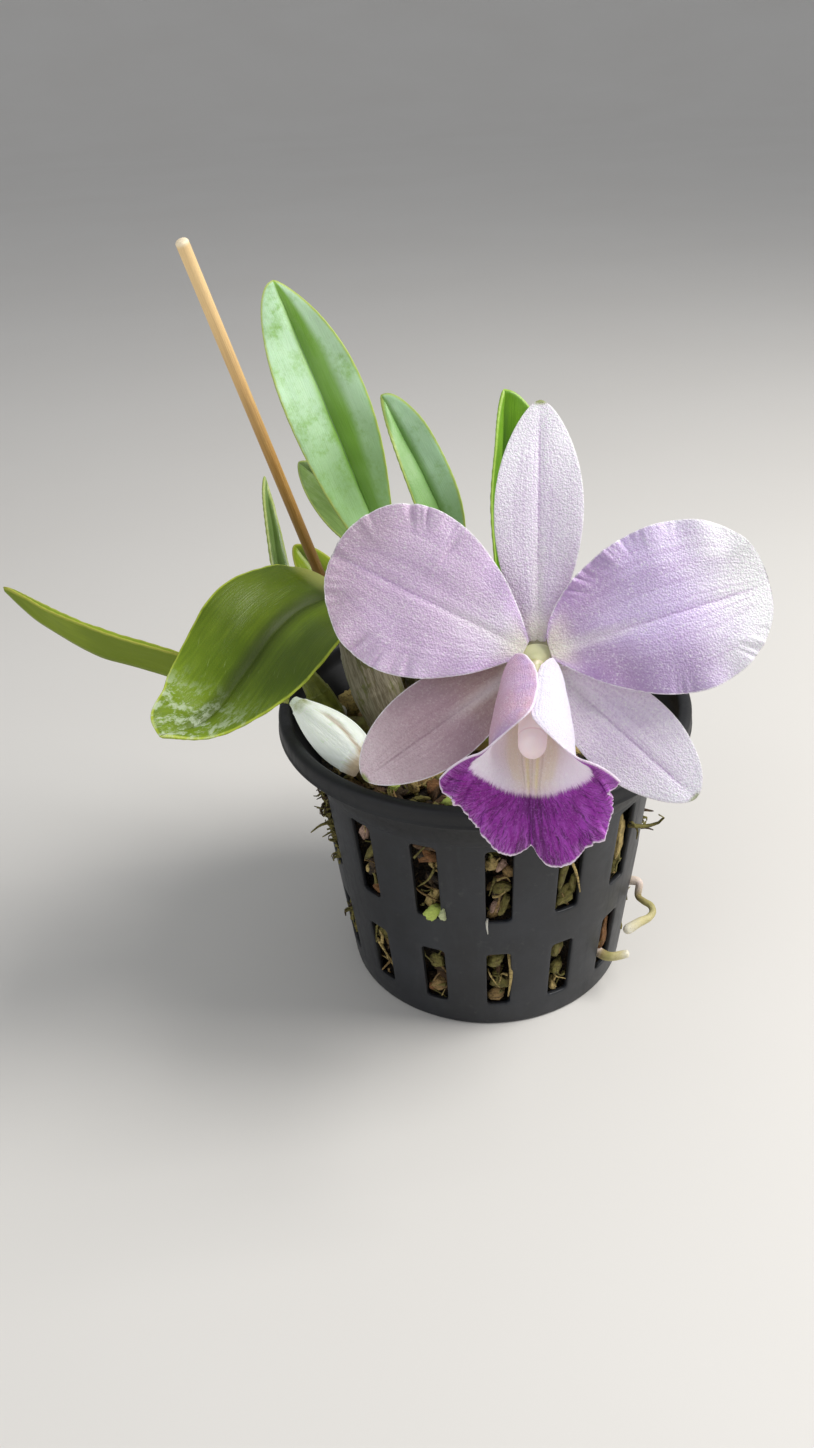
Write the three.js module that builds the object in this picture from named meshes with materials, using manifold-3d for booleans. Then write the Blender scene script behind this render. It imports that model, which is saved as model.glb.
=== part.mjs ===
// Cattleya orchid growing in a slotted net pot: the pot, its bark and moss, a bamboo stake, the creeping
// plant with its pseudobulbs, leaves and roots, and one open flower.
// Millimetres, +Z up. The origin is the centre of the pot's underside and the flower faces -Y.

import * as THREE from 'three';
import { mergeVertices } from 'three/addons/utils/BufferGeometryUtils.js';
import Module from 'manifold-3d';

const wasm = await Module();
wasm.setup();

// ---------------------------------------------------------------------------------------------------------
// Driving dimensions
// ---------------------------------------------------------------------------------------------------------

const GAP = 0.3; // clearance between two pieces that touch

const POT = {
  height: 85.5, wall: 1.6, floor: 2.2, baseRadius: 41.2,
  shoulderZ: 69, shoulderRadius: 48.3, // top of the plain cone, where the collar starts to flare
  collarZ: 80.5, collarRadius: 55.2, rimRadius: 57, // underside of the rolled lip, and its outside
  columns: 15, firstColumn: -90, slotHalfAngle: 4.4, // slots in each row, in degrees round the wall
  rows: [{ from: 8.5, to: 29 }, { from: 41.5, to: 67 }],
  drainSlots: 6, drainSize: [14, 4], drainRadius: 25, // radial slots in the floor
};

// The growing medium: its surface, its gap to the pot, and how far it stands out of the slots. Then the bark
// chips and moss tufts on top, spread about the axis, and the bark behind each slot, set back from the wall.
const MEDIUM = {
  top: 73.5, crown: 1.2, bevel: [7, 4], clearance: 0.45, poke: 2.2,
  chips: { count: 20, size: [[9, 17], [5, 9], [4, 7]], spread: 44, step: 2.4, rise: [-0.5, 2] },
  moss: { count: 6, radius: [3.5, 5.5], spread: [6, 42], rise: 1 },
  slotBark: { size: [[5, 8], [6, 9], [8, 15]], along: [0.2, 0.8], sunk: [2, 4.5] },
};

const STAKE = { radius: 1.5, foot: [-28.4, 30.1, 56], head: [-63.3, -17.6, 209.3] };

const RHIZOME = {
  radius: 2.7,
  runs: [
    [[-28, 25, 76], [-18, 20, 76], [-11, 8, 76], [-5, -2, 76], [-2, -13, 75.5]],
    [[-12, 9, 76], [-24, -4, 76], [-31, -18, 77], [-34, -27, 78.5]],
    [[-23, -3, 76], [-32, 2, 76], [-41, 2, 76]],
  ],
};

// Pseudobulbs: foot, belly and top points, with the radius at the foot, the belly and the top.
const BULBS = {
  pseudobulb_lead: {
    at: [[-2, -12, 77.4], [1, -12.5, 92], [5, -12, 105.5]], radii: [3.6, 5.2, 3.7], colour: 0x8fa83a,
  },
  pseudobulb_front_left: {
    at: [[-33, -26, 81.5], [-43, -19, 88.5], [-51.6, -11.8, 93.6]], radii: [3.2, 5.6, 2.5], colour: 0xd9dccf,
  },
  pseudobulb_grey: {
    at: [[-24.9, -5.5, 78.2], [-31, -3, 97], [-37, 0.8, 116.6]], radii: [4.4, 6.6, 2.7], colour: 0xa79c86,
  },
  pseudobulb_green: {
    at: [[-41.4, 2.2, 78], [-45.5, 1.9, 87], [-49.2, 3, 94.4]], radii: [3, 3.6, 2.4], colour: 0x8d9a35,
  },
  pseudobulb_tall: {
    at: [[-12, 8.5, 77.5], [-17, 7, 95], [-20, 9.6, 112.8]], radii: [4.2, 6.4, 3], colour: 0x9aa27c,
  },
  pseudobulb_middle: {
    at: [[-5, -1, 77.5], [-5.5, -1, 95], [-7.4, 1.7, 115]], radii: [3.8, 5.4, 2.7], colour: 0x95a065,
  },
  pseudobulb_back: {
    at: [[-19, 21, 77.5], [-22, 22.5, 88], [-23.8, 25, 99.4]], radii: [3.4, 4.6, 2.5], colour: 0x9b9a78,
  },
  pseudobulb_back_left: {
    at: [[-28, 25.5, 77.6], [-32, 25.2, 88], [-36, 24.4, 98]], radii: [3, 3.8, 2.2], colour: 0x9aa25a,
  },
};

// Leaves: the midrib from foot to tip; which way the upper face looks at each end; the fold of the halves
// upwards at each end, in degrees; the waviness of the margin; and for each side of the midrib (looking at
// the upper face, tip up) the greatest half width, the place of the widest point and the outline's fullness.
const LEAVES = {
  leaf_tall: {
    rib: [[-20, 9.9, 113.8], [-27.5, 14.6, 132.5], [-38.4, 20.2, 163.7], [-49.2, 29.4, 192.4]],
    face: [[0.15, -0.97, 0.25], [0.05, -0.94, 0.35]], fold: [26, 12], wave: 0.5,
    left: [11.1, 1.3, 0.46], right: [11.6, 1.42, 0.75],
    colour: 0x5f8f3f,
  },
  leaf_middle: {
    rib: [[-7.4, 2, 116.1], [-9.1, 0.1, 136.2], [-23.5, 11.6, 166.9]],
    face: [[0.17, -0.97, 0.2], [0.21, -0.92, 0.34]], fold: [34, 24], wave: 0.4,
    left: [7.3, 0.6, 0.67], right: [7.3, 1.68, 0.45],
    colour: 0x56873c,
  },
  leaf_back: {
    rib: [[-24, 25.6, 100.5], [-31, 47.9, 120], [-50, 61.1, 134.6]],
    face: [[0.18, -0.86, 0.47], [0, -0.9, 0.44]], fold: [20, 12], wave: 0.3,
    left: [10, 1.33, 0.76], right: [8.8, 0.9, 0.6],
    small: true, colour: 0x557f37,
  },
  leaf_small: {
    rib: [[-36.4, 24.5, 99.2], [-44.4, 30.4, 110.4], [-51.5, 36, 118.2]],
    face: [[0.1, -0.8, 0.6], [0, -0.8, 0.6]], fold: [20, 12], wave: 0.2,
    left: [6, 0.85, 0.6], right: [6.4, 0.85, 0.6],
    small: true, colour: 0x8ea832,
  },
  leaf_narrow: {
    rib: [[-49.5, 3.7, 95.4], [-55, 21.2, 116.9], [-58.5, 42.7, 137.1]],
    face: [[0.65, -0.61, 0.45], [0.56, -0.64, 0.53]], fold: [30, 24], wave: 0.2,
    left: [3.3, 1.22, 0.57], right: [3.3, 0.7, 0.68],
    small: true, colour: 0x5b8a34,
  },
  leaf_young: {
    rib: [[5, -10.4, 106.6], [5, 1.4, 135], [7.8, 15.5, 165.6]],
    face: [[0.5, -0.83, 0.25], [0.5, -0.83, 0.25]], fold: [38, 30], wave: 0.3,
    left: [5.4, 1.1, 0.62], right: [13, 1.3, 0.5],
    colour: 0x4f9a28,
  },
  leaf_broad: {
    rib: [[-37.3, 1.2, 118], [-41.2, -5.8, 119.4], [-51.5, -19.2, 118.8], [-69.2, -40.9, 105.7],
      [-78.5, -51.5, 108.3]],
    face: [[-0.22, -0.51, 0.83], [-0.22, -0.58, 0.78]], fold: [20, 16], wave: 0.5,
    left: [22, 0.68, 1], right: [18.6, 0.73, 0.35],
    colour: 0x4f8a1e,
  },
  leaf_left: {
    rib: [[-52.4, -11.1, 94.1], [-66.8, -10.1, 97.2], [-85, -7.6, 101.8], [-105.1, -2.6, 107.4],
      [-127.7, 7.9, 122.1]],
    face: [[0.1, 0.5, 0.86], [0.1, 0.5, 0.86]], fold: [44, 40], wave: 0.2,
    left: [9.5, 0.85, 0.62], right: [9.5, 0.85, 0.62],
    colour: 0x86a32c,
  },
};
const LEAF = { thickness: 1.4, footHalf: 1.3, waves: 2.5, steps: [12, 6], smallSteps: [8, 4] };

// The flower's own frame: x to its right, y up the middle sepal, z out of its face.
const FLOWER = { centre: [9, -46.2, 121.5], turn: -7.5, tilt: 27.9, thickness: 0.8, clawRadius: 3.1 };

// Tepals in the flower's frame: the direction of the midrib in degrees, its length, the half widths to the
// left and right of it with the place and sharpness of the widest point, and the height of the foot, the
// middle and the tip.
const TEPALS = {
  dorsal_sepal: {
    angle: 90, length: 55.2, left: [10.3, 1.08, 0.62], right: [10.2, 1.12, 0.62], rise: [-2.3, -1.2, -4.5],
    fold: 8, cup: -0.6, wave: [0.15, 3], steps: [12, 6], colour: 0xdcc9e0,
  },
  left_lateral_sepal: {
    angle: 216.3, length: 47.2, left: [9.8, 1.1, 0.62], right: [11.5, 1.1, 0.5], rise: [-2.5, -1.8, -4.5],
    fold: 10, cup: -0.8, wave: [0.2, 3], steps: [12, 6], colour: 0xd6bfd6,
  },
  right_lateral_sepal: {
    angle: 317.9, length: 46.6, left: [11, 1.15, 0.5], right: [10.2, 1.1, 0.6], rise: [-2.5, -1.8, -3],
    fold: 8, cup: -0.6, wave: [0.2, 3], steps: [12, 6], colour: 0xdcc9e0,
  },
  left_petal: {
    angle: 153.8, length: 49.4, left: [19.4, 1.33, 0.51], right: [19.2, 1.43, 0.46], rise: [0.7, 4.6, 1.5],
    fold: 5, cup: -1.5, wave: [0.9, 6], steps: [14, 8], colour: 0xd2b4de,
  },
  right_petal: {
    angle: 17.4, length: 50.4, left: [20.2, 1.26, 0.37], right: [18.4, 1.4, 0.47], rise: [0.7, 4.2, 1],
    fold: 5, cup: -1.5, wave: [0.9, 6], steps: [14, 8], colour: 0xd8bfe4,
  },
};

// The lip: side lobes rolled round the column into a tube, which opens into a frilled middle lobe.
const LIP = {
  thickness: 0.7, steps: [14, 22], tubeShare: 0.5,
  foot: [-0.4, -3.6, 2.6], slope: 37.9, tubeLength: 23.5, // the tube's axis: its start, slope and length
  radii: [3.2, 7.1, 8.8, 9.5], overlap: 0.9, // tube radius along it, and half the step between the lobes
  wrapFoot: [192, 180], wrapMouth: [112, 98], closedPart: 0.72, // half wrap in degrees, left and right lobe
  fanCentre: [0, -26], fanHalfAngle: 87, frill: [1.1, 8],
  // reach of the fan from its left corner over the notched apex to its right corner, and its height
  fanReach: [21.8, 20.5, 17.8, 18.7, 20, 19.4, 15.8, 22.2, 21.6, 20.2, 18.5, 18.2, 18.8],
  fanZ: { corner: 15.5, apex: 8.5 },
  flare: { apex: 6, edge: 1, sideways: 6.5 }, // how far the mouth runs on before it turns into the fan
};

const COLUMN = { from: -0.9, to: 21, radii: [1.4, 2.4, 3.1, 3.7, 3.9, 2.2] }; // along the lip tube's axis
const STEM = {
  path: [[5, -14.2, 106.7], [5.6, -16.5, 111], [8.4, -25, 114.2], [10.4, -35.5, 115.8]],
  radii: [1.6, 1.7, 1.9, 2.4, 2.7, 2.9, 2.2], // from the bulb through the ovary to the flower's centre
  behind: 6, front: 2.4, // straight stretch behind the flower's centre, and the boss in front of it
};

// Roots: where each runs, and its radius.
const ROOTS = {
  root_loop: {
    at: [[36, -11.7, 25], [41.4, -13.3, 26.6], [44.6, -14.9, 26.8], [44.2, -17, 23.8], [44.9, -19.6, 24.2],
      [46.4, -21.4, 23.8], [46.6, -23, 22.9], [45.2, -24.6, 22.2], [42, -26, 21.8], [37.4, -28, 20.3]],
    radius: 1.1,
  },
  root_short: { at: [[27.5, -24.8, 14.2], [32.6, -29.8, 13], [38.8, -31, 14.8]], radius: 1.4 },
};

// Rough lumps of bark: how far each corner is pushed, as a share, and how far the lump tilts, in radians.
const LUMP = { corner: [0.64, 1.08], tilt: [-0.5, 0.5] };

const COLOURS = { pot: 0x45494f, medium: 0x6b5233, stake: 0xd0a468, rhizome: 0x7d7a4a, root: 0xb9b377,
  lip: 0x8a2fa5, column: 0xe8cfd2, stem: 0xa9bb57 };

// ---------------------------------------------------------------------------------------------------------
// Helpers
// ---------------------------------------------------------------------------------------------------------

const rad = THREE.MathUtils.degToRad;
const lerp = THREE.MathUtils.lerp;
const vec = (p) => new THREE.Vector3(...p);

/** Seeded random numbers between two bounds. */
function randomFrom(seed) {
  let state = seed;
  return (low = 0, high = 1) => {
    state = (state + 0x6d2b79f5) | 0;
    let t = Math.imul(state ^ (state >>> 15), 1 | state);
    t = (t + Math.imul(t ^ (t >>> 7), 61 | t)) ^ t;
    return low + (high - low) * (((t ^ (t >>> 14)) >>> 0) / 4294967296);
  };
}

/** A smooth value through evenly spaced ones, for t from 0 to 1. */
function along(values, t) {
  const curve = new THREE.CatmullRomCurve3(values.map((v, i) => new THREE.Vector3(i, v, 0)));
  return curve.getPoint(t).y;
}

/** An indexed geometry whose faces point out, from points and triangles of a closed surface. */
function closedGeometry(points, triangles) {
  let volume = 0;
  for (const [a, b, c] of triangles) volume += points[a].dot(points[b].clone().cross(points[c]));
  const index = volume > 0 ? triangles.flat() : triangles.flatMap(([a, b, c]) => [a, c, b]);
  const geometry = new THREE.BufferGeometry().setFromPoints(points);
  geometry.setIndex(index);
  return geometry;
}

/** The solid of a closed geometry, for joining and cutting. */
function solid(geometry) {
  const bare = geometry.clone();
  bare.deleteAttribute('normal');
  bare.deleteAttribute('uv');
  const merged = mergeVertices(bare, 1e-4);
  return new wasm.Manifold(new wasm.Mesh({
    numProp: 3,
    vertProperties: new Float32Array(merged.attributes.position.array),
    triVerts: new Uint32Array(merged.index.array),
  }));
}

/** The geometry of a solid. */
function geometryOf(manifold) {
  const { vertProperties, triVerts } = manifold.getMesh();
  const geometry = new THREE.BufferGeometry();
  geometry.setAttribute('position', new THREE.BufferAttribute(vertProperties, 3));
  geometry.setIndex(new THREE.BufferAttribute(triVerts, 1));
  return geometry;
}

/** A named mesh with its own material. */
function mesh(name, geometry, color, roughness) {
  const shape = geometry.clone();
  shape.computeVertexNormals();
  const part = new THREE.Mesh(shape, new THREE.MeshStandardMaterial({ color, roughness, metalness: 0 }));
  part.name = name;
  return part;
}

/** A turned solid: [radius, height] points from the axis at the bottom to the axis at the top. */
function turned(profile, segments) {
  const points = profile.map(([r, z]) => new THREE.Vector2(r, z));
  return new THREE.LatheGeometry(points, segments).rotateX(Math.PI / 2);
}

/** A round rod along a curve, its radius given by a function of t, with flat ends. */
function rod(curve, radius, sides, steps, grow = 0) {
  const frames = curve.computeFrenetFrames(steps, false);
  const points = [];
  const triangles = [];
  for (let i = 0; i <= steps; i++) {
    const centre = curve.getPointAt(i / steps);
    if (i === 0) centre.addScaledVector(frames.tangents[0], -grow);
    if (i === steps) centre.addScaledVector(frames.tangents[steps], grow);
    for (let k = 0; k < sides; k++) {
      const a = (2 * Math.PI * k) / sides;
      const r = (radius(i / steps) + grow) / (grow ? Math.cos(Math.PI / sides) : 1);
      points.push(centre.clone().addScaledVector(frames.normals[i], r * Math.cos(a))
        .addScaledVector(frames.binormals[i], r * Math.sin(a)));
      if (i === steps) continue;
      const here = i * sides + k;
      const next = i * sides + ((k + 1) % sides);
      triangles.push([here, next, next + sides], [here, next + sides, here + sides]);
    }
  }
  for (const i of [0, steps]) {
    const hub = points.push(curve.getPointAt(i / steps)
      .addScaledVector(frames.tangents[i], i ? grow : -grow)) - 1;
    for (let k = 0; k < sides; k++) {
      const edge = [i * sides + k, i * sides + ((k + 1) % sides)];
      triangles.push(i ? [edge[0], edge[1], hub] : [edge[1], edge[0], hub]);
    }
  }
  return closedGeometry(points, triangles);
}

/** A closed sheet of even thickness about surface(u, v), where u and v run from 0 to 1. */
function sheet(surface, thickness, [uSteps, vSteps]) {
  const grid = [];
  for (let i = 0; i <= uSteps; i++) {
    grid.push([]);
    for (let j = 0; j <= vSteps; j++) grid[i].push(surface(i / uSteps, j / vSteps));
  }
  const points = [];
  const at = (i, j, side) => 2 * (i * (vSteps + 1) + j) + side;
  for (let i = 0; i <= uSteps; i++) {
    for (let j = 0; j <= vSteps; j++) {
      const du = grid[Math.min(i + 1, uSteps)][j].clone().sub(grid[Math.max(i - 1, 0)][j]);
      const dv = grid[i][Math.min(j + 1, vSteps)].clone().sub(grid[i][Math.max(j - 1, 0)]);
      const normal = du.cross(dv).normalize();
      points.push(grid[i][j].clone().addScaledVector(normal, thickness / 2));
      points.push(grid[i][j].clone().addScaledVector(normal, -thickness / 2));
    }
  }
  const triangles = [];
  for (let i = 0; i < uSteps; i++) {
    for (let j = 0; j < vSteps; j++) {
      for (const s of [0, 1]) {
        const [a, b, c, d] = [at(i, j, s), at(i + 1, j, s), at(i + 1, j + 1, s), at(i, j + 1, s)];
        triangles.push(...(s ? [[a, c, b], [a, d, c]] : [[a, b, c], [a, c, d]]));
      }
    }
  }
  const edge = [];
  for (let i = 0; i < uSteps; i++) edge.push([i, 0, i + 1, 0], [uSteps - i, vSteps, uSteps - i - 1, vSteps]);
  for (let j = 0; j < vSteps; j++) edge.push([uSteps, j, uSteps, j + 1], [0, vSteps - j, 0, vSteps - j - 1]);
  for (const [i, j, m, n] of edge) {
    triangles.push([at(i, j, 0), at(i, j, 1), at(m, n, 1)], [at(i, j, 0), at(m, n, 1), at(m, n, 0)]);
  }
  return closedGeometry(points, triangles);
}

/** Half width of a blade: greatest width, where it lies and how full the outline is. */
const bladeWidth = ([width, place, fullness], t) => width * Math.sin(Math.PI * t ** place) ** fullness;

/** A blade: a midrib curve with a half width to each side, folded along the rib, cupped and waved. */
function blade({ rib, face, half, fold, cup = 0, wave = [0, 1], thickness, steps, endHalf }) {
  const surface = (t, v) => {
    const tangent = rib.getTangentAt(t);
    const normal = face(t);
    normal.addScaledVector(tangent, -normal.dot(tangent)).normalize();
    const side = tangent.clone().cross(normal);
    const s = 2 * v - 1;
    const width = Math.max(half(Math.sign(s) || 1, t), endHalf);
    const angle = rad(fold(t));
    const reach = Math.abs(s) * width;
    const ripple = wave[0] * Math.abs(s) ** 3 * Math.sin(2 * Math.PI * wave[1] * t + (s > 0 ? 0.9 : 2.6))
      * Math.min(1, 8 * t * (1 - t));
    const lift = reach * Math.sin(angle) + cup * s * s * Math.sin(Math.PI * t) + ripple;
    return rib.getPointAt(t).addScaledVector(side, Math.sign(s) * reach * Math.cos(angle))
      .addScaledVector(normal, lift);
  };
  return sheet(surface, thickness, steps);
}

/** A rough lump: a box of a random size whose corners are pushed in and out, turned at random. */
function lump(random, size) {
  const box = new THREE.BoxGeometry(...size.map((range) => random(...range)));
  box.deleteAttribute('normal');
  box.deleteAttribute('uv');
  const shape = mergeVertices(box);
  const corner = shape.attributes.position;
  for (let i = 0; i < corner.count; i++) {
    corner.setXYZ(i, corner.getX(i) * random(...LUMP.corner), corner.getY(i) * random(...LUMP.corner),
      corner.getZ(i) * random(...LUMP.corner));
  }
  return shape.rotateX(random(...LUMP.tilt)).rotateY(random(...LUMP.tilt)).rotateZ(random(0, 2 * Math.PI));
}

// ---------------------------------------------------------------------------------------------------------
// Pot
// ---------------------------------------------------------------------------------------------------------

/** Outer radius of the pot's plain cone at a height. */
const wallRadius = (z) => lerp(POT.baseRadius, POT.shoulderRadius, z / POT.shoulderZ);

/** A prism through the wall at a slot, smaller than the slot by inset on every side. */
function slotPrism(row, column, inset, depth) {
  const { from, to } = POT.rows[row];
  const [low, high] = [from + inset, to - inset];
  const spread = Math.sin(rad(POT.slotHalfAngle));
  const [a, b] = [wallRadius(low) * spread - inset, wallRadius(high) * spread - inset];
  const corners = [[-a, low], [a, low], [b, high], [-b, high]];
  const shape = new THREE.Shape(corners.map(([x, y]) => new THREE.Vector2(x, y)));
  const angle = rad(POT.firstColumn + (360 / POT.columns) * column);
  const radial = new THREE.Vector3(Math.cos(angle), Math.sin(angle), 0);
  const place = new THREE.Matrix4().makeBasis(new THREE.Vector3(-radial.y, radial.x, 0),
    new THREE.Vector3(0, 0, 1), radial).setPosition(radial.clone().multiplyScalar(depth[0]));
  const prism = new THREE.ExtrudeGeometry(shape, { depth: depth[1] - depth[0], bevelEnabled: false });
  return solid(prism.applyMatrix4(place));
}

/** Every slot of the wall, as row and column numbers. */
const slots = POT.rows.flatMap(
  (_, row) => Array.from({ length: POT.columns }, (_, column) => ({ row, column })));

/** The pot: a slotted cone with a flared collar, a rolled lip and drain slots in its floor. */
function potGeometry() {
  const { height, wall, floor, baseRadius, shoulderZ, shoulderRadius } = POT;
  const { collarZ, collarRadius, rimRadius } = POT;
  let pot = solid(turned([
    [0, 0], [baseRadius - 1, 0], [baseRadius, 1], [shoulderRadius, shoulderZ], [collarRadius, collarZ],
    [rimRadius, collarZ + 0.4], [rimRadius, height - 1], [rimRadius - 1, height], [rimRadius - 3, height],
    [collarRadius - 1.9, height - 1.6], [collarRadius - 2.1, collarZ],
    [shoulderRadius - wall - 0.3, shoulderZ + 0.3], [wallRadius(floor) - wall, floor], [0, floor],
  ], 60));
  for (const { row, column } of slots) pot = pot.subtract(slotPrism(row, column, 0, [36, 60]));
  const drain = new THREE.BoxGeometry(...POT.drainSize, 3 * floor).translate(POT.drainRadius, 0, floor / 2);
  for (let i = 0; i < POT.drainSlots; i++) {
    const turnedDrain = drain.clone().rotateZ((2 * Math.PI * (i + 0.5)) / POT.drainSlots);
    pot = pot.subtract(solid(turnedDrain));
  }
  return geometryOf(pot);
}

// ---------------------------------------------------------------------------------------------------------
// Plant
// ---------------------------------------------------------------------------------------------------------

/** A pseudobulb: a bent spindle, grown by a clearance where it is used to cut. */
function bulbGeometry({ at, radii }, grow = 0) {
  const curve = new THREE.QuadraticBezierCurve3(vec(at[0]), vec(at[1]), vec(at[2]));
  const [foot, belly, top] = radii;
  const radius = (t) => lerp(foot, top, t) + (belly - (foot + top) / 2) * Math.sin(Math.PI * t ** 0.85);
  return rod(curve, radius, 10, 8, grow);
}

/** The creeping rhizome: its runs joined. */
function rhizomeSolid(grow = 0) {
  const runs = RHIZOME.runs.map((points) => solid(
    rod(new THREE.CatmullRomCurve3(points.map(vec)), () => RHIZOME.radius, 8, points.length + 1, grow)));
  return runs.reduce((whole, run) => whole.add(run));
}

/** A root: a thin rod that tapers a little to its end. */
function rootGeometry({ at, radius }, grow = 0) {
  const curve = new THREE.CatmullRomCurve3(at.map(vec));
  return rod(curve, (t) => radius * (1.05 - 0.2 * t), 8, 2 * at.length + 2, grow);
}

/** The bamboo stake, a straight rod. */
const stakeGeometry = (grow = 0) => rod(
  new THREE.LineCurve3(vec(STAKE.foot), vec(STAKE.head)), () => STAKE.radius, 12, 1, grow);

/** A leaf: a thick blade that narrows to a short stalk at its foot and a point at its tip. */
function leafGeometry({ rib, face, left, right, fold, wave, small }) {
  const ends = face.map(vec);
  return blade({
    rib: new THREE.CatmullRomCurve3(rib.map(vec)),
    face: (t) => ends[0].clone().lerp(ends[1], t),
    half: (side, t) => bladeWidth(side < 0 ? left : right, t),
    fold: (t) => lerp(fold[0], fold[1], t),
    wave: [wave, LEAF.waves], thickness: LEAF.thickness, steps: small ? LEAF.smallSteps : LEAF.steps,
    endHalf: LEAF.footHalf,
  });
}

// ---------------------------------------------------------------------------------------------------------
// Flower
// ---------------------------------------------------------------------------------------------------------

/** Places the flower's frame: z out of its face, turned about the vertical and tilted up. */
function flowerMatrix() {
  const [turn, tilt] = [rad(FLOWER.turn), rad(FLOWER.tilt)];
  const right = new THREE.Vector3(Math.cos(turn), Math.sin(turn), 0);
  const out = new THREE.Vector3(
    Math.sin(turn) * Math.cos(tilt), -Math.cos(turn) * Math.cos(tilt), Math.sin(tilt));
  return new THREE.Matrix4().makeBasis(right, out.clone().cross(right), out).setPosition(vec(FLOWER.centre));
}

/** A petal or sepal. */
function tepalGeometry({ angle, length, left, right, rise, fold, cup, wave, steps }) {
  const direction = new THREE.Vector3(Math.cos(rad(angle)), Math.sin(rad(angle)), 0);
  const point = (t, z) => direction.clone().multiplyScalar(FLOWER.clawRadius + length * t).setZ(z);
  const rib = new THREE.CatmullRomCurve3([point(0, rise[0]), point(0.5, rise[1]), point(1, rise[2])]);
  return blade({
    rib,
    face: () => new THREE.Vector3(0, 0, 1),
    half: (side, t) => bladeWidth(side < 0 ? left : right, t),
    fold: () => fold, cup, wave, thickness: FLOWER.thickness, steps, endHalf: 1,
  });
}

/** Direction of the lip tube's axis, and the direction across it towards the flower's face. */
const lipAxis = new THREE.Vector3(0, -Math.cos(rad(LIP.slope)), Math.sin(rad(LIP.slope)));
const lipUp = new THREE.Vector3(0, Math.sin(rad(LIP.slope)), Math.cos(rad(LIP.slope)));

/** A point of the lip's tube at the length share t, where v runs round it from -1 at the left edge to 1. */
function lipTubePoint(t, v) {
  const side = v < 0 ? 0 : 1;
  const open = THREE.MathUtils.smoothstep(t, LIP.closedPart, 1);
  const wrap = rad(lerp(LIP.wrapFoot[side], LIP.wrapMouth[side], open));
  const angle = v * wrap;
  const radius = along(LIP.radii, t) + (side ? -1 : 1) * LIP.overlap * (angle / Math.PI) ** 2;
  return vec(LIP.foot).addScaledVector(lipAxis, t * LIP.tubeLength)
    .add(new THREE.Vector3(radius * Math.sin(angle), 0, 0))
    .addScaledVector(lipUp, -radius * Math.cos(angle));
}

/** A point on the frilled margin of the lip's middle lobe, for v from -1 to 1. */
function lipMarginPoint(v) {
  const angle = rad(LIP.fanHalfAngle * v);
  const reach = along(LIP.fanReach, (v + 1) / 2);
  const [x, y] = LIP.fanCentre;
  return new THREE.Vector3(x + reach * Math.sin(angle), y - reach * Math.cos(angle),
    lerp(LIP.fanZ.apex, LIP.fanZ.corner, v * v));
}

/** The lip: the tube for the first part of u, then the middle lobe flaring from its mouth to its margin. */
function lipGeometry() {
  return sheet((u, w) => {
    const v = 2 * w - 1;
    if (u <= LIP.tubeShare) return lipTubePoint(u / LIP.tubeShare, v);
    const s = (u - LIP.tubeShare) / (1 - LIP.tubeShare);
    const start = lipTubePoint(1, v);
    const bend = start.clone().addScaledVector(lipAxis, lerp(LIP.flare.apex, LIP.flare.edge, Math.abs(v)))
      .add(new THREE.Vector3(LIP.flare.sideways * v * Math.abs(v), 0, 0));
    const frill = LIP.frill[0] * s ** 4 * Math.sin(Math.PI * LIP.frill[1] * v);
    return new THREE.QuadraticBezierCurve3(start, bend, lipMarginPoint(v)).getPoint(s)
      .add(new THREE.Vector3(0, 0, frill));
  }, LIP.thickness, LIP.steps);
}

/** The column inside the lip, ending in the anther cap. */
function columnGeometry() {
  const at = (d) => vec(LIP.foot).addScaledVector(lipAxis, d);
  return rod(new THREE.LineCurve3(at(COLUMN.from), at(COLUMN.to)), (t) => along(COLUMN.radii, t), 12, 8);
}

/** The flower's stalk, ovary and centre, from the top of the lead pseudobulb. */
function stemGeometry(place) {
  const behind = (d) => new THREE.Vector3(0, 0, -d).applyMatrix4(place);
  const path = [...STEM.path.map(vec), behind(STEM.behind), behind(-STEM.front)];
  return rod(new THREE.CatmullRomCurve3(path), (t) => along(STEM.radii, t), 10, 16);
}

// ---------------------------------------------------------------------------------------------------------
// Growing medium
// ---------------------------------------------------------------------------------------------------------

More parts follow.
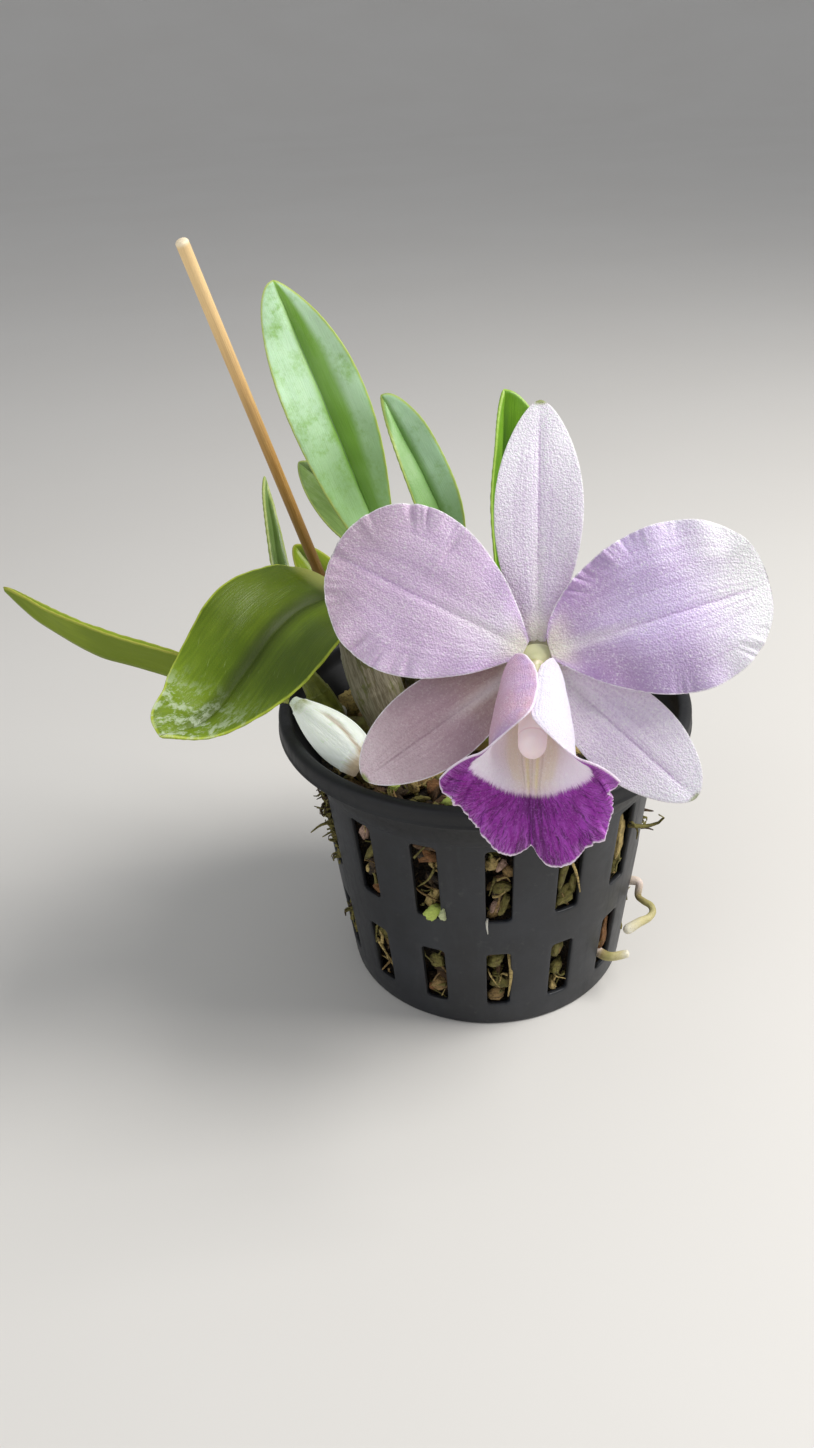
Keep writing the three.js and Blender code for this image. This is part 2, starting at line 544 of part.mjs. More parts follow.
/** Bark and moss filling the pot: a core with chips and tufts fused on, clear of the pot and of the plant. */
function mediumGeometry(sunk) {
  const random = randomFrom(7);
  const { top, crown, bevel, clearance, poke, chips, moss, slotBark } = MEDIUM;
  const bottom = POT.floor + GAP;
  const inner = POT.wall + clearance;
  const place = (geometry, r, angle, z) => geometry.translate(r * Math.cos(angle), r * Math.sin(angle), z);
  let medium = solid(turned([[0, bottom], [wallRadius(POT.floor) - inner - 0.9, bottom],
    [wallRadius(top) - inner - 1.6, top - bevel[1]], [wallRadius(top) - inner - bevel[0], top],
    [0, top + crown]], 24));

  const lumps = [];
  for (let i = 0; i < chips.count; i++) {
    const r = chips.spread * Math.sqrt((i + 0.5) / chips.count);
    lumps.push(place(lump(random, chips.size), r, i * chips.step, top + random(...chips.rise)));
  }
  for (let i = 0; i < moss.count; i++) {
    const tuft = new THREE.IcosahedronGeometry(random(...moss.radius), 0).scale(1, 0.8, 0.7);
    lumps.push(place(tuft, random(...moss.spread), random(0, 2 * Math.PI), top + moss.rise));
  }
  for (const { row, column } of slots) {
    const angle = rad(POT.firstColumn + (360 / POT.columns) * column);
    const z = lerp(POT.rows[row].from, POT.rows[row].to, random(...slotBark.along));
    const r = wallRadius(z) - random(...slotBark.sunk);
    lumps.push(place(lump(random, slotBark.size).rotateZ(angle), r, angle, z));
  }
  for (const piece of lumps) medium = medium.add(solid(piece));

  const mouth = POT.height - 3;
  let room = solid(turned([[0, bottom], [wallRadius(POT.floor) - inner, bottom],
    [POT.shoulderRadius - inner - 0.2, POT.shoulderZ], [POT.collarRadius - 5, mouth], [0, mouth]], 30));
  for (const { row, column } of slots) {
    const reach = wallRadius(POT.rows[row].to) + poke;
    room = room.add(slotPrism(row, column, clearance, [30, reach]));
  }
  medium = medium.intersect(room);
  for (const piece of sunk) medium = medium.subtract(piece);
  return geometryOf(largest(medium));
}

/** The biggest connected body of a solid. */
function largest(manifold) {
  return manifold.decompose().reduce((best, body) => (body.volume() > best.volume() ? body : best));
}

// ---------------------------------------------------------------------------------------------------------
// Assembly
// ---------------------------------------------------------------------------------------------------------

const orchid = new THREE.Group();

const grownBulbs = Object.values(BULBS).map((bulb) => solid(bulbGeometry(bulb, GAP)));
const grownRoots = Object.values(ROOTS).map((root) => solid(rootGeometry(root, GAP)));
const rhizome = grownBulbs.reduce((rest, bulb) => rest.subtract(bulb), rhizomeSolid());
const sunkPieces = [...grownBulbs, ...grownRoots, rhizomeSolid(GAP), solid(stakeGeometry(GAP))];

orchid.add(mesh('net_pot', potGeometry(), COLOURS.pot, 0.55));
orchid.add(mesh('growing_medium', mediumGeometry(sunkPieces), COLOURS.medium, 0.95));
orchid.add(mesh('bamboo_stake', stakeGeometry(), COLOURS.stake, 0.6));
orchid.add(mesh('rhizome', geometryOf(largest(rhizome)), COLOURS.rhizome, 0.8));
for (const [name, bulb] of Object.entries(BULBS)) {
  orchid.add(mesh(name, bulbGeometry(bulb), bulb.colour, 0.6));
}
for (const [name, leaf] of Object.entries(LEAVES)) {
  orchid.add(mesh(name, leafGeometry(leaf), leaf.colour, 0.4));
}
for (const [name, root] of Object.entries(ROOTS)) {
  orchid.add(mesh(name, rootGeometry(root), COLOURS.root, 0.8));
}

const place = flowerMatrix();
orchid.add(mesh('flower_stem', stemGeometry(place), COLOURS.stem, 0.5));
const flower = new THREE.Group();
place.decompose(flower.position, flower.quaternion, flower.scale);
for (const [name, tepal] of Object.entries(TEPALS)) {
  flower.add(mesh(name, tepalGeometry(tepal), tepal.colour, 0.5));
}
flower.add(mesh('lip', lipGeometry(), COLOURS.lip, 0.5));
flower.add(mesh('column', columnGeometry(), COLOURS.column, 0.4));
orchid.add(flower);

export default orchid;
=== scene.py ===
"""Dresses the potted cattleya orchid: petals, lip, leaves, pseudobulbs, roots, bark, moss and net pot.

Shapes are made in millimetres in the part's own frame, and become metres when they are placed.
"""

import itertools
import logging
import math
from dataclasses import dataclass, field
from enum import Enum
from typing import Any, Callable, Sequence

import bpy
import numpy as np
from mathutils import Matrix, Vector


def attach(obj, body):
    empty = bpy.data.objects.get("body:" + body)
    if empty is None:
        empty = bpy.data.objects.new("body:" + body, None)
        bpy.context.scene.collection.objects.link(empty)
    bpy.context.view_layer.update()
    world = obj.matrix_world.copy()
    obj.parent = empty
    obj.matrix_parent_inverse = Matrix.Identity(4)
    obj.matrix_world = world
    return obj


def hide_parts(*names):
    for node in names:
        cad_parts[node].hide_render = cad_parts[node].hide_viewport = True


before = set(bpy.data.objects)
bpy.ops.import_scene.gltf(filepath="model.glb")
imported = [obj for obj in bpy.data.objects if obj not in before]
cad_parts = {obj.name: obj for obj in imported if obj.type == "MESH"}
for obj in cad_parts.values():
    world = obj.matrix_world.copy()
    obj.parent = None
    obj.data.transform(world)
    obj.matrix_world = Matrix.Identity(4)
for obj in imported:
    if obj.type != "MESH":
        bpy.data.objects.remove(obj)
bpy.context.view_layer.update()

Array = np.ndarray
Colour = tuple[float, float, float, float]
Pair = tuple[float, float]
Point = tuple[float, float, float]
Material = bpy.types.Material
Number = Any  # a plain number or a Value

LOG = logging.getLogger("orchid")
MM = 0.001
MEDIUM_SEED, TEPAL_SEED, LIP_SEED, BULB_SEED, RHIZOME_SEED, ROOT_SEED, STAKE_SEED = 7, 20, 41, 60, 80, 85, 90
BLADE_MARKS = ("along", "across", "flat_along", "flat_across", "margin", "upper")


def colour(code: int) -> Colour:
    """The linear colour of a display code such as 0xc8a0d0."""
    parts = [((code >> shift) & 255) / 255 for shift in (16, 8, 0)]
    linear = [c / 12.92 if c <= 0.04045 else ((c + 0.055) / 1.055) ** 2.4 for c in parts]
    return (*linear, 1.0)


def smooth(low: float, high: float, value: Array) -> Array:
    """Rises smoothly from 0 at low to 1 at high."""
    share = np.clip((np.asarray(value, float) - low) / (high - low), 0, 1)
    return share * share * (3 - 2 * share)


def bell(away: Array, spread: float) -> Array:
    """Falls smoothly from 1 where away is 0, over the spread."""
    return np.exp(-((away / spread) ** 2))


def rounded(margin: Array, radius: float) -> Array:
    """A factor that rounds a sheet off over a radius beside its margin."""
    edge = np.clip(margin / radius, 0, 1)
    return np.sqrt(edge * (2 - edge))


def around(sides: int) -> Array:
    """Angles evenly spaced about an axis."""
    return np.linspace(0, 2 * np.pi, sides, endpoint=False)


def unit(vectors: Array) -> Array:
    """The vectors at length 1."""
    return vectors / np.maximum(np.linalg.norm(vectors, axis=-1, keepdims=True), 1e-9)


def spline(points: Sequence[Sequence[float]], t: Array) -> Array:
    """Reads a centripetal Catmull-Rom curve.

    Args:
        points: the points that the curve runs through.
        t: places from 0 to 1, evenly spaced over the points.

    Returns:
        One point for each place.
    """
    knots = np.asarray(points, float)
    knots = np.vstack([2 * knots[0] - knots[1], knots, 2 * knots[-1] - knots[-2]])
    place = np.asarray(t, float) * (len(points) - 1)
    first = np.clip(np.floor(place).astype(int), 0, len(points) - 2)
    share = (place - first)[..., None]
    p0, p1, p2, p3 = (knots[first + k] for k in range(4))
    gaps = [np.maximum(np.linalg.norm(b - a, axis=-1, keepdims=True) ** 0.5, 1e-4)
            for a, b in ((p0, p1), (p1, p2), (p2, p3))]
    leave = ((p1 - p0) / gaps[0] - (p2 - p0) / (gaps[0] + gaps[1]) + (p2 - p1) / gaps[1]) * gaps[1]
    arrive = ((p2 - p1) / gaps[1] - (p3 - p1) / (gaps[1] + gaps[2]) + (p3 - p2) / gaps[2]) * gaps[1]
    return (p1 + leave * share + (3 * (p2 - p1) - 2 * leave - arrive) * share**2
            + (2 * (p1 - p2) + leave + arrive) * share**3)


def along(values: Sequence[float], t: Array) -> Array:
    """A smooth value through evenly spaced ones, for t from 0 to 1."""
    return spline([(k, v) for k, v in enumerate(values)], t)[..., 1]


class Path:
    """A curve that is read by its share of length."""

    def __init__(self, points: Array) -> None:
        """Takes closely spaced points along the curve."""
        steps = np.linalg.norm(np.diff(points, axis=0), axis=1)
        self.length = float(steps.sum())
        self._share = np.concatenate([[0.0], np.cumsum(steps)]) / self.length
        self._points = points
        self._tangents = unit(np.gradient(points, axis=0))

    @classmethod
    def through(cls, points: Sequence[Point]) -> "Path":
        """A smooth curve through points."""
        return cls(spline(points, np.linspace(0, 1, 600)))

    @classmethod
    def arched(cls, foot: Point, belly: Point, top: Point) -> "Path":
        """A curve that leaves foot and reaches top, drawn towards belly."""
        t = np.linspace(0, 1, 300)[:, None]
        return cls((1 - t) ** 2 * np.array(foot) + 2 * t * (1 - t) * np.array(belly) + t**2 * np.array(top))

    def _read(self, values: Array, t: Array) -> Array:
        """Values along the curve at shares of its length."""
        return np.stack([np.interp(t, self._share, values[:, k]) for k in range(3)], axis=-1)

    def at(self, t: Array) -> Array:
        """Points at shares of the length."""
        return self._read(self._points, t)

    def tangent(self, t: Array) -> Array:
        """Directions at shares of the length."""
        return unit(self._read(self._tangents, t))


class Grain:
    """Smooth seeded noise over space, between -1 and 1, one cell to a unit."""

    CELLS = 32

    def __init__(self, seed: int) -> None:
        """Draws the noise's values."""
        self._values = np.random.default_rng(seed).uniform(-1, 1, (self.CELLS,) * 3)

    def at(self, x: Array, y: Array | float = 0.0, z: Array | float = 0.0, layers: int = 1) -> Array:
        """Reads the noise.

        Args:
            x: the first coordinate.
            y: the second coordinate.
            z: the third coordinate.
            layers: how many ever finer and weaker layers are added up.

        Returns:
            One value for each place.
        """
        points = np.stack(np.broadcast_arrays(*(np.asarray(c, float) for c in (x, y, z))), axis=-1)
        total = np.zeros(points.shape[:-1])
        for layer in range(layers):
            scaled = points * 2**layer + 7.3 * layer
            cell = np.floor(scaled).astype(int)
            part = scaled - cell
            part = part * part * (3 - 2 * part)
            for corner in itertools.product((0, 1), repeat=3):
                index = (cell + corner) % self.CELLS
                weight = np.prod(np.where(corner, part, 1 - part), axis=-1)
                total += weight * self._values[index[..., 0], index[..., 1], index[..., 2]] / 2**layer
        return total


# Shapes


@dataclass
class Shape:
    """Points in millimetres, faces, and marks: named values of the points that the finishes read."""

    points: Array
    faces: list[tuple[int, ...]]
    marks: dict[str, Array] = field(default_factory=dict)

    @staticmethod
    def joined(shapes: Sequence["Shape"]) -> "Shape":
        """Several shapes as one, with the marks that all of them have."""
        starts = np.cumsum([0] + [len(s.points) for s in shapes])
        faces = [tuple(k + start for k in face) for s, start in zip(shapes, starts) for face in s.faces]
        names = set.intersection(*(set(s.marks) for s in shapes))
        marks = {name: np.concatenate([s.marks[name] for s in shapes]) for name in sorted(names)}
        return Shape(np.concatenate([s.points for s in shapes]), faces, marks)

    def welded(self) -> "Shape":
        """The shape with points in one place made one."""
        spots = np.round(self.points, 3)
        _, first, place = np.unique(spots, axis=0, return_index=True, return_inverse=True)
        place = place.ravel()
        faces = []
        for face in self.faces:
            ring = [int(place[k]) for k in face]
            ring = [k for i, k in enumerate(ring) if k != ring[i - 1]]
            if len(ring) > 2:
                faces.append(tuple(ring))
        return Shape(self.points[first], faces, {name: v[first] for name, v in self.marks.items()})

    def build(self, name: str, finish: Material, slot: str, *nodes: str) -> bpy.types.Object:
        """Makes the shape an object of the part.

        Args:
            name: the object's name.
            finish: its material.
            slot: the record's material slot; not used.
            nodes: the frame's nodes that it stands for.

        Returns:
            The new object, riding on the root body.
        """
        mesh = bpy.data.meshes.new(name)
        mesh.from_pydata((self.points * MM).tolist(), [], self.faces)
        for mark, values in self.marks.items():
            mesh.attributes.new(mark, "FLOAT", "POINT").data.foreach_set("value", values.astype(np.float32))
        mesh.shade_smooth()
        mesh.materials.append(finish)
        piece = bpy.data.objects.new(name, mesh)
        bpy.context.scene.collection.objects.link(piece)
        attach(piece, "root")
        if nodes:
            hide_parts(*nodes)
        LOG.info("%s: %d faces, stands for %s", name, len(self.faces), ", ".join(nodes) or "nothing")
        return piece


def quads(rows: int, columns: int, closed: bool = False) -> Array:
    """Faces of a grid of points.

    Args:
        rows: rows of points.
        columns: points in each row.
        closed: whether each row's last point joins its first.

    Returns:
        The faces' corners, one face to a line.
    """
    i, j = np.meshgrid(np.arange(rows - 1), np.arange(columns if closed else columns - 1), indexing="ij")
    after = (j + 1) % columns
    corners = [i * columns + j, i * columns + after, (i + 1) * columns + after, (i + 1) * columns + j]
    return np.stack(corners, axis=-1).reshape(-1, 4)


def ring_faces(rings: int, sides: int) -> list[tuple[int, ...]]:
    """Faces between closed rings of points."""
    return [tuple(face) for face in quads(rings, sides, closed=True).tolist()]


def sheet(centre: Array, thickness: Array, marks: dict[str, Array]) -> Shape:
    """Thickens a grid of points to both sides and closes it all round.

    Args:
        centre: points of the middle surface, as a grid.
        thickness: the sheet's thickness at each of them.
        marks: values for both faces of the sheet.

    Returns:
        The closed shape, with the mark upper: 1 on the face towards the normal and 0 on the other.
    """
    rows, columns = centre.shape[:2]
    normal = unit(np.cross(np.gradient(centre, axis=1), np.gradient(centre, axis=0)))
    offset = normal * thickness[..., None] / 2
    points = np.concatenate([(centre + offset).reshape(-1, 3), (centre - offset).reshape(-1, 3)])
    face = quads(rows, columns)
    count = rows * columns
    grid = np.arange(count).reshape(rows, columns)
    border = np.concatenate([grid[0, :-1], grid[:-1, -1], grid[-1, :0:-1], grid[:0:-1, 0]])
    after = np.roll(border, -1)
    rim = np.stack([after, border, border + count, after + count], axis=-1)
    faces = np.concatenate([face, face[:, ::-1] + count, rim])
    values = {name: np.tile(value.ravel(), 2) for name, value in marks.items()}
    values["upper"] = np.repeat([1.0, 0.0], count)
    return Shape(points, [tuple(f) for f in faces.tolist()], values)


def tube(path: Path, radius: Callable[[Array, Array], Array], sides: int, steps: int,
         stretch: Callable[[Array], Array] = lambda t: t) -> Shape:
    """A closed tube along a path.

    Args:
        path: the tube's middle line.
        radius: the radius for a share of the length and an angle about it.
        sides: points in each ring.
        steps: spaces between the rings.
        stretch: spaces the rings, from 0 to 1.

    Returns:
        The shape, with the marks along (a share of the length) and turn (the angle about it).
    """
    t = stretch(np.linspace(0, 1, steps + 1))
    tangent = path.tangent(t)
    across = np.empty_like(tangent)
    side = np.cross(tangent[0], (0.0, 0.0, 1.0) if abs(tangent[0][2]) < 0.9 else (0.0, 1.0, 0.0))
    for k, direction in enumerate(tangent):
        side = unit(side - direction * side.dot(direction))
        across[k] = side
    other = np.cross(tangent, across)
    turn, place = np.meshgrid(around(sides), t)
    reach = radius(place, turn)[..., None]
    rings = (path.at(t)[:, None] + across[:, None] * np.cos(turn)[..., None] * reach
             + other[:, None] * np.sin(turn)[..., None] * reach)
    points = np.concatenate([rings.reshape(-1, 3), path.at(np.array([0.0, 1.0]))])
    count = rings.shape[0] * sides
    faces = ring_faces(steps + 1, sides)
    for k in range(sides):
        after = (k + 1) % sides
        faces.append((count, after, k))
        faces.append((count + 1, count - sides + k, count - sides + after))
    marks = {"along": np.append(place.ravel(), [0, 1]), "turn": np.append(turn.ravel(), [0, 0])}
    return Shape(points, faces, marks)


def domed(t: Array, foot: float, top: float) -> Array:
    """A factor that rounds a tube off over the shares foot and top of its length at its two ends."""
    start = np.clip(t / foot, 0, 1) if foot else 1.0
    end = np.clip((1 - t) / top, 0, 1) if top else 1.0
    return np.sqrt(1 - (1 - start) ** 2) * np.sqrt(1 - (1 - end) ** 2)


# Shader maths


def operator(operation: str, swapped: bool = False) -> Callable[["Value", Number], "Value"]:
    """An operator that adds a Math node to a value's graph, with the value second where it is swapped."""

    def apply(value: "Value", other: Number) -> "Value":
        """Adds the node."""
        return value.graph.math(operation, *((other, value) if swapped else (value, other)))

    return apply


class Value:
    """A shader socket that takes part in ordinary arithmetic."""

    __add__ = __radd__ = operator("ADD")
    __sub__, __rsub__ = operator("SUBTRACT"), operator("SUBTRACT", swapped=True)
    __mul__ = __rmul__ = operator("MULTIPLY")
    __truediv__ = operator("DIVIDE")

    def __init__(self, graph: "Graph", socket: bpy.types.NodeSocket) -> None:
        """Wraps an output socket of the graph."""
        self.graph, self.socket = graph, socket

    def __abs__(self) -> "Value":
        """The value without its sign."""
        return self.graph.math("ABSOLUTE", self)


class Graph:
    """The node tree of one material. Colours are links or display codes."""

    def __init__(self, name: str) -> None:
        """Makes an empty material."""
        self.material = bpy.data.materials.new(name)
        self.material.use_nodes = True
        self.tree = self.material.node_tree
        self.tree.nodes.clear()

    def node(self, kind: str, inputs: dict[Any, Any], output: Any = 0, stops: Sequence[tuple] = (),
             **settings: Any) -> Value:
        """Adds a node with its settings, inputs and ramp stops, and hands back one of its outputs."""
        node = self.tree.nodes.new(kind)
        for name, setting in settings.items():
            setattr(node, name, setting)
        for k, (position, shade) in enumerate(stops):
            ramp = node.color_ramp.elements
            element = ramp[k] if k < len(ramp) else ramp.new(position)
            element.position, element.color = position, colour(shade)
        for key, value in inputs.items():
            if isinstance(value, Value):
                self.tree.links.new(value.socket, node.inputs[key])
            else:
                node.inputs[key].default_value = value
        return Value(self, node.outputs[output])

    def math(self, operation: str, first: Number, second: Number = 0.0) -> Value:
        """A Math node on two numbers."""
        return self.node("ShaderNodeMath", {0: first, 1: second}, operation=operation)

    def marks(self, *names: str) -> list[Value]:
        """Marks of the shape's points."""
        return [self.node("ShaderNodeAttribute", {}, "Fac", attribute_name=name) for name in names]

    def place(self) -> Value:
        """Where the surface is, in millimetres."""
        spot = self.node("ShaderNodeTexCoord", {}, "Object")
        return self.node("ShaderNodeVectorMath", {0: spot, "Scale": 1 / MM}, operation="SCALE")

    def spot(self, x: Number, y: Number, z: Number = 0.0) -> Value:
        """A place from three numbers."""
        return self.node("ShaderNodeCombineXYZ", {0: x, 1: y, 2: z})

    def ring(self, turn: Value, size: float, z: Value) -> Value:
        """A place on a ring of a size, so that noise has no seam where the turn starts."""
        return self.spot(self.math("COSINE", turn) * size, self.math("SINE", turn) * size, z)

    def noise(self, at: Value, scale: float, detail: float = 2.0, rough: float = 0.5) -> Value:
        """Cloudy noise from 0 to 1, its scale given in cells to a millimetre."""
        return self.node("ShaderNodeTexNoise",
                         {"Vector": at, "Scale": scale, "Detail": detail, "Roughness": rough}, "Fac")

    def cells(self, at: Value, scale: float) -> Value:
        """Distance to the nearest of scattered points."""
        return self.node("ShaderNodeTexVoronoi", {"Vector": at, "Scale": scale}, "Distance")

    def step(self, value: Number, low: float, high: float) -> Value:
        """Rises smoothly from 0 at low to 1 at high, or falls where low is above high."""
        ends = {1: min(low, high), 2: max(low, high), 3: float(low > high), 4: float(low < high)}
        return self.node("ShaderNodeMapRange", {"Value": value, **ends}, interpolation_type="SMOOTHSTEP")

    def mix(self, share: Number, first: Any, second: Any) -> Value:
        """Blends two colours."""
        first, second = (colour(shade) if isinstance(shade, int) else shade for shade in (first, second))
        return self.node("ShaderNodeMix", {0: share, 6: first, 7: second}, 2, data_type="RGBA")

    def coats(self, base: Value, *coats: tuple[Number, Any]) -> Value:
        """Lays coats of colour over the base in turn, each given by its share and its colour."""
        for share, shade in coats:
            base = self.mix(share, base, shade)
        return base

    def ramp(self, value: Number, *stops: tuple[float, int]) -> Value:
        """A colour for each value, through stops."""
        return self.node("ShaderNodeValToRGB", {0: value}, stops=stops)

    def relief(self, *layers: tuple[Value, float]) -> Value:
        """Reliefs on top of each other, each given by its height and its depth in millimetres."""
        under = {}
        for height, depth in layers:
            inputs = {"Height": height, "Distance": depth * MM, "Strength": 1.0, **under}
            normal = self.node("ShaderNodeBump", inputs)
            under = {"Normal": normal}
        return normal

    def finish(self, base: Value, rough: Number, relief: Value | None = None,
               soft: tuple[float, Point, float] | None = None, painted_light: tuple[Value, float] | None = None,
               **inputs: Any) -> Material:
        """Ends the material in a Principled shader.

        Args:
            base: its colour.
            rough: its roughness.
            relief: its normal.
            soft: weight, radius and scale of the light that passes below the surface.
            painted_light: colour and strength of its own light, painted light that stands in for light
                falling on it.
            inputs: other inputs of the shader, named with _ for each space.
        """
        named = {name.replace("_", " "): value for name, value in inputs.items()}
        named |= {"Base Color": base, "Roughness": rough}
        if relief:
            named["Normal"] = relief
        if soft:
            named |= dict(zip(("Subsurface Weight", "Subsurface Radius", "Subsurface Scale"), soft))
        if painted_light:
            named |= dict(zip(("Emission Color", "Emission Strength"), painted_light))
        shader = self.node("ShaderNodeBsdfPrincipled", named)
        output = self.tree.nodes.new("ShaderNodeOutputMaterial")
        self.tree.links.new(shader.socket, output.inputs[0])
        return self.material


# Blades: leaves, petals and sepals


@dataclass(frozen=True)
class Half:
    """Half of a blade beside its rib: the greatest width, where it lies and how full the outline is."""

    width: float
    place: float
    fullness: float

    def at(self, t: Array) -> Array:
        """The half width at shares of the rib."""
        return self.width * np.sin(np.pi * np.clip(t, 0, 1) ** self.place) ** self.fullness


@dataclass(frozen=True)
class Blade:
    """A blade: a rib with a half to each side, folded up along the rib, cupped and waved at its margin."""

    rib: Path
    face: tuple[Point, Point]
    left: Half
    right: Half
    fold: Pair
    wave: Pair
    cup: float = 0.0
    foot: float = 1.3
    foot_share: float = 0.12

    def flat(self, t: Array, s: Array) -> tuple[Array, Array]:
        """Places laid flat, along the rib and across it, for shares of both, with the foot kept open."""
        width = np.where(s < 0, self.left.at(t), self.right.at(t))
        foot = self.foot * (1 - smooth(0, self.foot_share, t))
        return t * self.rib.length, s * np.sqrt(width**2 + foot**2)

    def marks(self, rows: int, columns: int) -> dict[str, Array]:
        """Marks of a grid of places that are closer together at the tip, foot and margins.

        Args:
            rows: rows from foot to tip.
            columns: places in each row.

        Returns:
            Shares along and across, places on the blade laid flat, and distances to the margin.
        """
        even = np.linspace(0, 1, rows)
        t = 0.9997 * (0.4 * even + 0.6 * (0.5 - 0.5 * np.cos(np.pi * even)))
        even = np.linspace(-1, 1, columns)
        t, s = np.meshgrid(t, 0.45 * even + 0.55 * np.sin(np.pi / 2 * even), indexing="ij")
        x, y = self.flat(t, s)
        edge_t = 0.5 - 0.5 * np.cos(np.linspace(0, np.pi, 160))
        edge_t = edge_t[edge_t > self.foot_share / 2]
        ends = [self.flat(edge_t, np.full_like(edge_t, side)) for side in (-1.0, 1.0)]
        edge = np.concatenate([np.stack(end, axis=-1) for end in ends])
        gaps = (x[..., None] - edge[:, 0]) ** 2 + (y[..., None] - edge[:, 1]) ** 2
        margin = np.sqrt(gaps.min(axis=-1))
        return {"along": t, "across": s, "flat_along": x, "flat_across": y, "margin": margin}

    def solid(self, marks: dict[str, Array], lift: Array, body: Array) -> Shape:
        """Models the blade.

        Args:
            marks: the marks of its places.
            lift: relief to add along the upper face's normal.
            body: its thickness.

        Returns:
            The closed shape.
        """
        t, s = marks["along"], marks["across"]
        tangent = self.rib.tangent(t)
        first, last = np.array(self.face[0]), np.array(self.face[1])
        normal = first + (last - first) * t[..., None]
        normal = unit(normal - tangent * np.sum(normal * tangent, axis=-1, keepdims=True))
        side = np.cross(tangent, normal)
        reach = np.abs(marks["flat_across"])
        angle = np.radians(self.fold[0] + (self.fold[1] - self.fold[0]) * t)
        phase = 2 * np.pi * self.wave[1] * t + np.where(s > 0, 0.9, 2.6)
        ripple = self.wave[0] * np.abs(s) ** 3 * np.sin(phase) * np.minimum(1, 8 * t * (1 - t))
        rise = reach * np.sin(angle) + self.cup * s * s * np.sin(np.pi * t) + ripple + lift
        middle = (self.rib.at(t) + side * (np.sign(s) * reach * np.cos(angle))[..., None]
                  + normal * rise[..., None])
        return sheet(middle, body, marks)


@dataclass(frozen=True)
class LeafLook:
    """Colours of a leaf, and how strongly its details show. Some are painted light: a shade colour for the
    channel beside the rib and for one half, a painted shadow along the rib, and a pale colour that is partly
    waxy coat and partly painted highlight.
    """

    deep: int
    light: int
    edge: int
    painted_shade: int
    bloom_and_highlight: int
    left_bloom_and_light: float
    right_bloom_and_highlight: float
    start: float = 0.4
    shaded_half: float = 0.0
    wear: float = 0.0
    # hollow: strength of the painted shadow along the rib
    hollow: float = 0.0


class LeafTone(Enum):
    """Kinds of leaf."""

    BLUE_GREEN = LeafLook(0x7eb042, 0x95c46a, 0xb7c762, 0x6c9c38, 0xc9ebc8, 0.88, 0.85, 0.36, wear=0.1)
    MINT = LeafLook(0x7aa955, 0x8cb86c, 0xa9bb5c, 0x6f9a4e, 0xbfe2c2, 0.1, 0.65, 0.12, 0.8, 0.1)
    OLIVE = LeafLook(0x567030, 0x738e4c, 0xa3b060, 0x48601f, 0xa9c286, 0.08, 0.15, wear=0.1)
    GREEN = LeafLook(0x52690a, 0x70881a, 0xaebd40, 0x34440a, 0x7c9434, 0.0, 0.12, 0.4, 0.45, 0.8, 0.75)
    YOUNG = LeafLook(0x70860a, 0x8fa31c, 0xb0b24a, 0x4c5c08, 0xa5b458, 0.1, 0.1)
    FRESH = LeafLook(0x4b7c08, 0x6c9c20, 0xa7c85a, 0x3c6606, 0x9cc45c, 0.2, 0.1)


